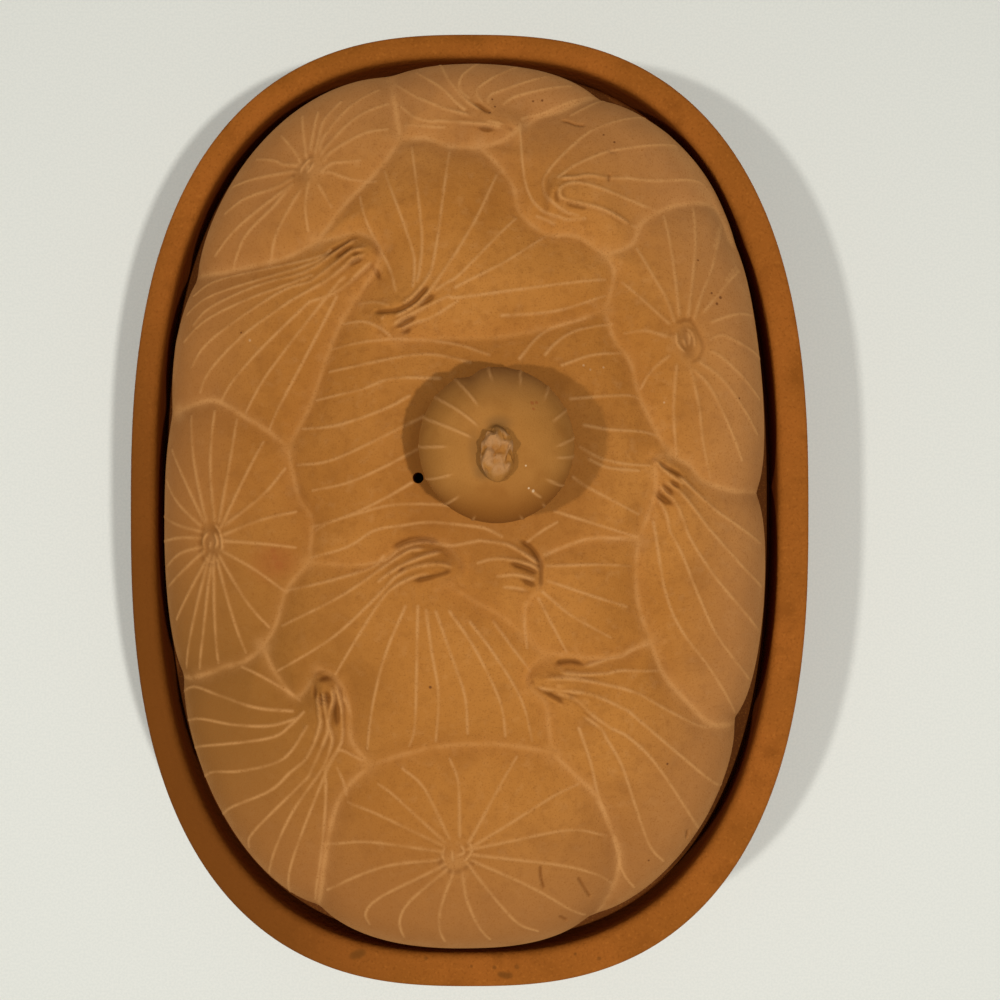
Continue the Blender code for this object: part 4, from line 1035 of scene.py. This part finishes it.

# Its clay is matt and browner than the dish's. Towards the edge it is greyer and paler, partly
# with a pale bloom and partly with painted sheen. Veins and seams are worn pale, and the grooves
# beside them hold a darker line, partly dirt and partly painted shade.
LID_CLAY = (0.372, 0.140, 0.024)
LID_WARM = (0.428, 0.170, 0.033)
LID_DARK = (0.245, 0.084, 0.013)
LID_EDGE_BLOOM_AND_SHEEN = (0.345, 0.155, 0.054)
LID_GROOVE_SHADE_AND_DIRT = (0.165, 0.053, 0.007)
LID_FLANGE_SHADE = (0.095, 0.026, 0.004)
LID_PALE = (0.520, 0.250, 0.080)
LID_SPECK = (0.125, 0.040, 0.010)
LID_RUST = (0.300, 0.085, 0.018)
LID_PAINTED_LIGHT = (0.500, 0.205, 0.040)
LID_PAINTED_SHADE = (0.205, 0.083, 0.014)
CHIP_COLOUR = (0.640, 0.440, 0.250)

# Broad marks: two of painted shadow round the knob, one of painted light low in the middle, one
# of painted shade at the lower left, and two of rust. Small ones: dark specks, pale chips, rust,
# and chalk on two vein ends. Each has its place across and along, and its half width. Then the
# clay's blots, and the two sides that painted shade darkens it towards.
BROAD_PAINTED_LIGHT_AND_RUST = (
    (14, 15, 39, 0.30, LID_DARK, 0.50), (2, 20, 22, 0.10, LID_DARK, 0.60),
    (5, -68, 42, 0.90, LID_PAINTED_LIGHT, 0.22), (-98, -72, 48, 0.80, LID_PAINTED_SHADE, 0.62),
    (-72, -21, 6, 0.80, LID_RUST, 0.40), (-67, -20, 5, 0.80, LID_RUST, 0.35),
)
SPECKS = (
    (10.5, 153.5, 0.4), (11.5, 150.5, 0.4), (29.5, 154.5, 0.45), (52.5, 140, 0.4), (56.5, 137, 0.45),
    (9.5, 148, 0.5), (26, 154, 0.4), (93, 80, 0.45), (96.5, 78.5, 0.6), (95, 76, 0.55), (103.5, 40.5, 0.4),
    (-12, -66, 0.55), (-83, 64.5, 0.4), (88, 92.5, 0.4), (70, -135, 0.4), (76, -96.5, 0.45),
)
CHIPS = ((-79.5, 61.5, 0.5), (44, 51.5, 0.45), (46.5, 50, 0.4), (51.5, 51, 0.4), (74.5, 38.5, 0.4))
RUST = ((-68.5, -22, 1.6), (-70, -19, 1.3), (-70.5, -16.5, 1.0))
CHALK = (
    (99.3, 108.6, 1.2), (98.4, 106.4, 1.6), (97.4, 104.0, 1.7), (96.5, 101.4, 1.6), (95.7, 98.8, 1.3),
    (104.6, 91.2, 1.6), (103.0, 89.4, 1.6), (101.4, 87.6, 1.4), (99.8, 85.8, 1.2),
)
SMALL_MARKS = (
    (SPECKS, LID_SPECK, 0.85), (CHIPS, CHIP_COLOUR, 0.3),
    (RUST, LID_RUST, 0.45), (CHALK, LID_PALE, 0.35),
)
LID_BLOTS = (
    (22.0, 3.0, 0.35, 0.65, 1.0, LID_WARM), (60.0, 4.0, 0.50, 0.75, 0.45, LID_DARK),
    (330.0, 3.0, 0.45, 0.75, 0.35, LID_DARK), (240.0, 2.0, 0.52, 0.78, 0.22, LID_PALE),
)
LID_SHADED_SIDES = (((-6.0, -1.0), -0.2, 0.9, 0.50, LID_DARK), ((1.5, -6.0), 0.5, 1.0, 0.35, LID_DARK))

# Where the clay is darker beside a ridge, partly dirt and partly painted shade; worn on seams and
# on the heap's edge; greyer and paler towards the edge, with a pale bloom and painted sheen; and
# darkened with painted shade on the flange.
BESIDE_SPREAD = 8
BESIDE_GAIN = 3
SKIN_FADE = 2.0
SEAM_MIDDLE = 0.45
SEAM_FROM = 0.35
SEAM_RUN = 0.45
EDGE_WEAR = 0.6
EDGE_WEAR_HALF = 0.045
BLOOM_AND_SHEEN_FROM = 0.62
FLANGE_SHADE_FOOT = 0.5
FLANGE_SHADE_INSET = 11

# Partly dirt and partly painted shade: the clay darkens beside each ridge and in the cuts.
beside_ridge = Sheet(SURFACE_STEP)
beside_ridge.values = ridges.values
beside_ridge.soften(BESIDE_SPREAD)
beside_ridge.values = np.clip(beside_ridge.values - ridges.values, 0, None) * BESIDE_GAIN + cuts.values

points = points_of(lid).astype(float) / MM
places = points[:, :2] - middle
rim_reach = heap_reach(places)
skin = heap_level + SHOULDER_RISE * np.clip((1 - rim_reach) / SHOULDER_SHARE, 0, 1) + crown_rise(places)
outside = np.clip((points[:, 2] - skin + LID_WALL / 2) / SKIN_FADE, 0, 1)
seam_full = SEAM_MIDDLE + (1 - SEAM_MIDDLE) * np.clip((rim_reach - SEAM_FROM) / SEAM_RUN, 0, 1)
edge_worn = EDGE_WEAR * np.exp(-((rim_reach - 1.0) / EDGE_WEAR_HALF) ** 2)
# Painted shade on the flange and on the low band at the heap's foot, which lie in the gap.
under = np.clip((flange_top + FOOT_BAND - points[:, 2]) / FOOT_BAND, 0, 1)
under = under * (points[:, 2] > seat_level + FLANGE_SHADE_FOOT)
shaded_flange = np.sum(np.abs(places / (flange_half - FLANGE_SHADE_INSET)) ** HEAP_POWER, axis=1) > 1
mark(lid, "pale", pale.read(places) * outside)
mark(lid, "worn", np.maximum(worn.read(places) * seam_full, edge_worn) * outside)
mark(lid, "groove_shade_and_dirt", beside_ridge.read(places) * outside)
mark(lid, "bloom_and_sheen", np.clip((rim_reach - BLOOM_AND_SHEEN_FROM) / (1 - BLOOM_AND_SHEEN_FROM), 0, 1) * outside)
mark(lid, "shaded_flange", under * shaded_flange)


def lid_spot(thing, tree, colour, where, tint, strength, soft=0.35):
    """Tint a spot that is given in the lid's millimetres: across, along, and half width."""
    place = (np.array(where[:2]) + middle) * MM
    return spot(thing, tree, colour, place, where[2] * MM, tint, strength, soft)


lid_finish, tree, shader = new_finish("lid_clay", roughness=0.82, shine=0.05)
colour = blotched(tree, LID_CLAY, LID_BLOTS)
# Painted sheen with a pale bloom: greyer and paler towards the heap's edge.
colour = tinted(tree, colour, marked(tree, "bloom_and_sheen"), 0.0, 1.0, 0.65, LID_EDGE_BLOOM_AND_SHEEN)
# Painted shade: the lid darkens towards its left and towards its near end.
for direction, *levels in LID_SHADED_SIDES:
    colour = tinted(tree, colour, toward(tree, direction), *levels)
# Painted shadow round the knob, painted light low in the middle and painted shade at the lower left, with
# two marks of rust.
for *where, soft, tint, strength in BROAD_PAINTED_LIGHT_AND_RUST:
    colour = lid_spot(lid, tree, colour, where, tint, strength, soft)
# Darker beside ridges and in grooves: partly dirt, partly painted shade.
colour = tinted(tree, colour, marked(tree, "groove_shade_and_dirt"), 0.1, 1.2, 0.80, LID_GROOVE_SHADE_AND_DIRT)
patchy = blend(tree, between(tree, mottle(tree, 110.0, 3.0), 0.30, 0.60, 0.35, 0.9), colour, LID_PALE)
for name, strength in (("worn", 0.8), ("pale", 1.0)):
    colour = tinted(tree, colour, marked(tree, name), 0.05, 1.0, strength, patchy)
# Painted shade on the flange and the heap's foot.
colour = blend(tree, marked(tree, "shaded_flange"), colour, LID_FLANGE_SHADE)
for group, tint, strength in SMALL_MARKS:
    for where in group:
        colour = lid_spot(lid, tree, colour, where, tint, strength)
grain = mottle(tree, 1500.0, 2.0)
colour = tinted(tree, colour, grain, 0.50, 0.85, 0.75, LID_DARK)
tree.links.new(colour, shader.inputs["Base Color"])
roughen(tree, shader, grain, depth=0.0003, strength=0.35)
lid.data.materials.clear()
lid.data.materials.append(lid_finish)
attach(lid, "lid")
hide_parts("lid")


# The knob is a small onion, pressed apart and stuck into the lid's socket with wet clay. The
# end of its stem is broken off and rough.
KNOB_POINTS = 200
KNOB_HALF = 27.0
KNOB_HEIGHT = 36.0
KNOB_BELLY = 15.0
KNOB_SKIRT = 2.5
TENON_HALF = 15.0
SLIP_FLARE = 2.5
SLIP_FOOT = -0.6
SLIP_EDGE = -0.2
KNOB_LEAN = (0.5, -5.0)
LEAN_POWER = 1.5
STEM_FOOT = (7.6, 9.8)
STEM_HALF = (5.6, 8.6)
STEM_TIP = (4.6, 6.6)
STEM_HEIGHT = 6.6
STEM_LEAN = (-0.2, 0.6)
STEM_SPREAD = 0.3
STEM_TAPER = 0.6

knob_foot = socket_floor + SOCKET_DEPTH
knob_middle = np.array(KNOB_PLACE) + middle
knob = start_ring("onion_knob", KNOB_POINTS, np.full(2, TENON_HALF) * MM, knob_low.z,
                  knob_middle * MM, 2.0)
bpy.ops.mesh.edge_face_add()


def pull_knob(half, rise, aside=(0.0, 0.0)):
    """Extrude the knob's ring to a leaning oval at a height over the lid."""
    lean = np.array(KNOB_LEAN) * (max(rise, 0.0) / KNOB_HEIGHT) ** LEAN_POWER + np.array(aside)
    half = np.ones(2) * half
    pull_ring(knob, half * MM, (knob_foot + rise) * MM, (knob_middle + lean) * MM, 2.0)


pull_knob(TENON_HALF, SLIP_FOOT)
pull_knob(TENON_HALF + SLIP_FLARE, SLIP_EDGE)
for angle in arc(5):
    pull_knob(TENON_HALF + SLIP_FLARE * (1 - math.sin(angle)), KNOB_SKIRT * (1 - math.cos(angle)))
for angle in arc(16):
    out = TENON_HALF + (KNOB_HALF - TENON_HALF) * math.sin(angle)
    pull_knob(out, KNOB_BELLY - (KNOB_BELLY - KNOB_SKIRT) * math.cos(angle))
for angle in arc(44):
    half = np.array(STEM_FOOT) + (KNOB_HALF - np.array(STEM_FOOT)) * math.cos(angle)
    pull_knob(half, KNOB_BELLY + (KNOB_HEIGHT - KNOB_BELLY) * math.sin(angle))
for share in shares(16):
    foot = (1 - min(share / STEM_SPREAD, 1)) ** 2
    tip = (max(share - STEM_TAPER, 0) / (1 - STEM_TAPER)) ** 2
    half = np.array(STEM_HALF) + (np.array(STEM_FOOT) - np.array(STEM_HALF)) * foot
    half = half + (np.array(STEM_TIP) - np.array(STEM_HALF)) * tip
    pull_knob(half, KNOB_HEIGHT + STEM_HEIGHT * share, np.array(STEM_LEAN) * share)
for share in shares(12)[:-1]:
    pull_knob(np.array(STEM_TIP) * (1 - share), KNOB_HEIGHT + STEM_HEIGHT, STEM_LEAN)
close_up()

# Its veins run from the belly towards the stem: the bearings of both ends, and how far they lie
# from the knob's axis. One side is dented. The broken stem is crumbled on top and still smooth
# at its near end.
KNOB_VEINS = (
    (6, 4, 27, 20), (27, 27, 27, 21), (48, 46, 26, 23), (72, 70, 26, 23), (96, 94, 26, 23),
    (122, 113, 27, 17), (142, 127, 27, 11), (159, 150, 27, 10), (181, 175, 27, 17), (205, 207, 26, 17),
    (228, 230, 27, 20), (252, 252, 27, 24), (290, 289, 27, 24), (308, 310, 27, 24), (313, 311, 23, 17),
    (329, 330, 27, 19), (352, 353, 26, 20),
)
KNOB_VEIN_RISE = 0.45
KNOB_VEIN_HALF = 0.6
LATE_VEIN = 26
VEIN_HEAD = 2
VEIN_TAIL = 3
VEIN_DROP = 8
KNOB_DENT = 1.8
DENT_BEARING = 111
DENT_SPREAD = 7.0
DENT_RISE = 3
DENT_HALF = 11
STEM_CLEAR = 0.4
STEM_BLEND = 2.0
STEM_ROUGH = 1.5
CRUMB_SCALE = 0.30
SPLIT_SCALE = (0.50, 0.22, 0.3)
SPLIT_SHIFT = 40
SPLIT_FLARE = 0.8
BREAK_SLOPE = 0.10
BREAK_HINGE = 5
SMOOTH_END = (0.3, -8.4)
SMOOTH_HALF = (4.5, 3.5)
SMOOTH_DROP = 1.6
SMOOTH_FLARE = 0.7


def hill(places, top, half):
    """1 at the top of a round hill, and less away from it."""
    return np.exp(-np.sum(((places - top) / half) ** 2, axis=1))


points = points_of(knob).astype(float) / MM
rise = points[:, 2] - knob_foot
lean = (np.clip(rise, 0, None) / KNOB_HEIGHT)[:, None] ** LEAN_POWER * np.array(KNOB_LEAN)
away = points[:, :2] - knob_middle - lean
reach = np.linalg.norm(away, axis=1)
bearing = np.arctan2(away[:, 1], away[:, 0])
outward = away / np.maximum(reach, TINY)[:, None]
vein = np.zeros(len(points))
for outer, inner, start, end in KNOB_VEINS:
    passed = np.clip((start - reach) / (start - end), 0, 1)
    turned = bearing - np.radians(outer + (inner - outer) * passed)
    aside = np.sin(turned) * reach
    fade = np.clip((start - reach) / VEIN_HEAD, 0, 1) if start < LATE_VEIN else 1.0
    fade = fade * np.clip((reach - end) / VEIN_TAIL + 0.5, 0, 1) * (np.cos(turned) > 0)
    vein = np.maximum(vein, fade * np.exp(-(aside / KNOB_VEIN_HALF) ** 2))
vein[rise < KNOB_BELLY - VEIN_DROP] = 0
tilt = np.clip((rise - KNOB_BELLY) / (KNOB_HEIGHT - KNOB_BELLY), 0, 1) * math.pi / 2
turned = bearing - math.radians(DENT_BEARING)
dent = np.degrees(np.arctan2(np.sin(turned), np.cos(turned))) / DENT_SPREAD
dent = np.exp(-dent ** 2 - ((rise - KNOB_BELLY - DENT_RISE) / DENT_HALF) ** 2)
points[:, :2] += outward * (vein * KNOB_VEIN_RISE * np.cos(tilt) - dent * KNOB_DENT)[:, None]
points[:, 2] += vein * KNOB_VEIN_RISE * np.sin(tilt)
stem = np.clip((rise - KNOB_HEIGHT - STEM_CLEAR) / STEM_BLEND, 0, 1)
smooth_end = hill(away, SMOOTH_END, SMOOTH_HALF)
broken = stem * (1 - smooth_end)
crumbs = np.array([noise.fractal(p * CRUMB_SCALE, 0.9, 2.1, 2) for p in points])
splits = np.array([noise.fractal(p * SPLIT_SCALE + SPLIT_SHIFT, 1.0, 2.0, 1) for p in points])
rough = (crumbs - np.abs(splits)) * STEM_ROUGH - BREAK_SLOPE * (away[:, 0] + BREAK_HINGE)
points[:, 2] += broken * rough - stem * smooth_end * SMOOTH_DROP
flare = broken * splits * STEM_ROUGH * SPLIT_FLARE + stem * smooth_end * SMOOTH_FLARE
points[:, :2] += outward * flare[:, None]
points[:, 2] = np.minimum(points[:, 2], knob_high.z / MM)
knob.data.vertices.foreach_set("co", (points * MM).ravel())
bpy.ops.object.shade_smooth_by_angle(angle=math.radians(CLAY_SMOOTH))

KNOB_CLAY = (0.325, 0.134, 0.026)
KNOB_WARM = (0.375, 0.158, 0.033)
KNOB_DARK = (0.215, 0.070, 0.009)
KNOB_GREY = (0.250, 0.112, 0.034)
STEM_PALE = (0.430, 0.225, 0.095)
STEM_SHADOW = (0.178, 0.082, 0.022)
KNOB_BLOTS = ((40.0, 3.0, 0.35, 0.65, 1.0, KNOB_WARM), (90.0, 4.0, 0.52, 0.78, 0.4, KNOB_DARK))
# Two of these layers are painted light: painted shade on the knob's near side and painted shadow round its
# stem.
KNOB_LAYERS = (
    ("grey", 0.0, 1.0, 0.55, KNOB_GREY), ("lower_shade", 0.0, 1.0, 0.75, KNOB_DARK),
    ("pale", 0.1, 1.0, 0.65, LID_PALE), ("broken", 0.1, 1.0, 0.60, STEM_PALE),
    ("stem_shadow", 0.1, 1.0, 0.65, STEM_SHADOW),
)
CHALK_RISE = 3.4
CHALK_LEVEL = 0.8
CHALK_CRUMBS = 1.2
CHALK_SPLITS = 1.4
# Painted shadow of the broken stem, as hills of strength, place and half size: beyond it, partly a grey
# smudge, on its left, and at its near foot.
STEM_SHADOWS = ((1.0, (0.5, 9.6), (5.0, 3.0)), (0.65, (-7.6, 1.5), (2.8, 7.0)), (0.9, (-4.5, -6.5), (3.5, 3.0)))
GREY_POWER = 3
LOWER_SHADE_SIDE = (0.1, -0.995)
LOWER_SHADE_FROM = 0.2
LOWER_SHADE_RUN = 0.6
KNOB_CHIPS = ((24.4, 5.2, 0.5), (22.9, 6.1, 0.35), (21.9, 13.5, 0.3))
KNOB_RUST = ((24.1, 34.5, 0.7), (25.6, 34.7, 0.6), (24.5, 32.4, 0.5))

chalk = np.clip(CHALK_LEVEL + CHALK_CRUMBS * crumbs - CHALK_SPLITS * np.abs(splits), 0, 1)
stem_shadow = sum(strength * hill(away, top, half) for strength, top, half in STEM_SHADOWS)
# Painted shade on the knob's near side, where its belly curves under.
lower_shade = outward @ np.array(LOWER_SHADE_SIDE) * reach / KNOB_HALF
mark(knob, "grey", np.clip(away[:, 1] / KNOB_HALF, 0, 1) ** GREY_POWER)
mark(knob, "lower_shade", np.clip((lower_shade - LOWER_SHADE_FROM) / LOWER_SHADE_RUN, 0, 1))
mark(knob, "pale", vein)
mark(knob, "broken", broken * chalk * (rise > KNOB_HEIGHT + CHALK_RISE))
mark(knob, "stem_shadow", np.minimum(stem_shadow, 1) * (rise > KNOB_BELLY))

knob_finish, tree, shader = new_finish("knob_clay", roughness=0.80, shine=0.05)
colour = blotched(tree, KNOB_CLAY, KNOB_BLOTS)
for name, *levels in KNOB_LAYERS:
    colour = tinted(tree, colour, marked(tree, name), *levels)
grain = mottle(tree, 1900.0, 2.0)
colour = tinted(tree, colour, grain, 0.50, 0.85, 0.5, LID_DARK)
for group, tint in ((KNOB_CHIPS, CHIP_COLOUR), (KNOB_RUST, LID_RUST)):
    for where in group:
        colour = lid_spot(knob, tree, colour, where, tint, 0.7)
tree.links.new(colour, shader.inputs["Base Color"])
roughen(tree, shader, grain, depth=0.0003, strength=0.35)
knob.data.materials.append(knob_finish)
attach(knob, "lid")
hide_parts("knob")
